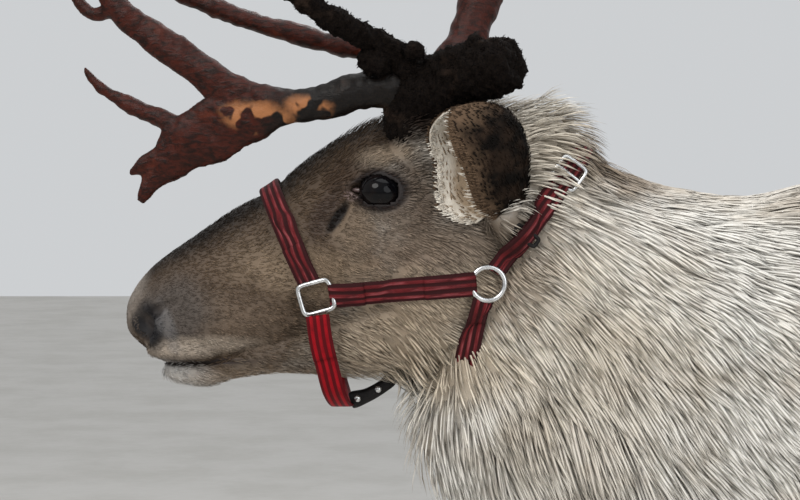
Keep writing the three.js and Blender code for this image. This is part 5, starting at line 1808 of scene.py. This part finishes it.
# Name, region, coverage, rings of a tuft, kind, and how far and how many tufts draw together
for name, region, coverage, rings, kind, share, cell in (
    ("coat_muzzle", above(0, -1000, -600), 2.3, 2, FACE, 0, 9),
    ("coat_face", above(800, -600, -490), 2.9, 2, FACE, 0, 9),
    ("coat_cheek", cheeks, 3.7, 3, FACE, 0.25, 8),
    ("coat_neck_low", neck_part(0, 930), 13, 4, COAT, 0.3, 9),
    ("coat_neck_high", neck_part(930, 1400), 13.5, 4, COAT, 0.3, 9),
    ("coat_shoulder", above(LEGS_BELOW, NECK_END, 90), 3.6, 3, COAT, 0.35, 9),
    ("coat_barrel", above(LEGS_BELOW, 90, 350), 3.6, 2, COAT, 0.35, 9),
    ("coat_flank", above(LEGS_BELOW, 350, 600), 3.6, 2, COAT, 0.35, 9),
    ("coat_loin", above(LEGS_BELOW, 600, 760), 3.6, 2, COAT, 0.35, 9),
    ("coat_rump", above(LEGS_BELOW, 760, 1200), 3.6, 2, COAT, 0.35, 9),
    ("coat_forelegs", leg_part(-1000, 300), 1.7, 2, LEG, 0, 9),
    ("coat_hindlegs", leg_part(300, 1200), 1.7, 2, LEG, 0, 9),
):
    grow(name, region, coverage, rings, *kind, share, cell)
for name in ("left_antler_base", "left_bez_tine"):
    velvet_fuzz(ANTLERS[name], VELVET, 0.05)


# Setting, in metres

FLOOR_REACH, FLOOR_DROP = 14.0, 0.001
FOCAL_LENGTH, SENSOR = 117.4, 36
CAMERA_AWAY, PITCH = 2.4, math.radians(3.0)
HEAD_SPOT = place([-492, 0, 1027])


def make_floor():
    """The plain floor that it stands on."""
    mesh = bpy.data.meshes.new("floor")
    corners = [(x * FLOOR_REACH, y * FLOOR_REACH) for x, y in ((-1, -1), (1, -1), (1, 1), (-1, 1))]
    mesh.from_pydata([(x, y, -FLOOR_DROP) for x, y in corners], [], [(0, 1, 2, 3)])
    mesh.materials.append(simple_material("floor", "d3d0cb", "c9c6c0", 3, 0.8, strength=0.05, specular=0.2))
    floor = in_scene("floor", mesh)


def soft_light(name, at, aim, size, power, colour=(1, 1, 1)):
    """A round lamp that looks at a point."""
    lamp = bpy.data.lights.new(name, "AREA")
    lamp.shape = "DISK"
    lamp.size = size
    lamp.energy = power
    lamp.color = colour
    light = in_scene(name, lamp)
    light.location = at
    light.rotation_euler = (Vector(aim) - Vector(at)).to_track_quat("-Z", "Y").to_euler()


def make_world():
    """An even, faintly blue light from all round."""
    world = bpy.data.worlds.new("studio")
    world.use_nodes = True
    background = world.node_tree.nodes["Background"]
    background.inputs["Color"].default_value = (0.78, 0.8, 0.82, 1)
    background.inputs["Strength"].default_value = 0.78
    bpy.context.scene.world = world


def make_camera():
    """At the photograph's angle, a little above the head and pitched down to it."""
    lens = bpy.data.cameras.new("camera")
    lens.lens = FOCAL_LENGTH
    lens.sensor_width = SENSOR
    camera = in_scene("camera", lens)
    camera.location = HEAD_SPOT + CAMERA_AWAY * np.array([0, -math.cos(PITCH), math.sin(PITCH)])
    camera.rotation_euler = (math.pi / 2 - PITCH, 0, 0)
    bpy.context.scene.camera = camera


make_floor()
soft_light("key", HEAD_SPOT + [-1.6, -2.6, 2.2], HEAD_SPOT, 2.0, 80, (1, 0.98, 0.95))
soft_light("fill", HEAD_SPOT + [2.2, -2.8, 0.9], HEAD_SPOT + [0.6, 0, -0.2], 2.8, 42, (0.96, 0.98, 1))
soft_light("back", HEAD_SPOT + [1.2, 2.6, 2.4], HEAD_SPOT + [0.4, 0, 0], 2.0, 60)
soft_light("top", [0, 0, 3.6], [0, 0, 0.5], 3.0, 45)
make_world()
make_camera()
bpy.context.scene.view_settings.view_transform = "Standard"
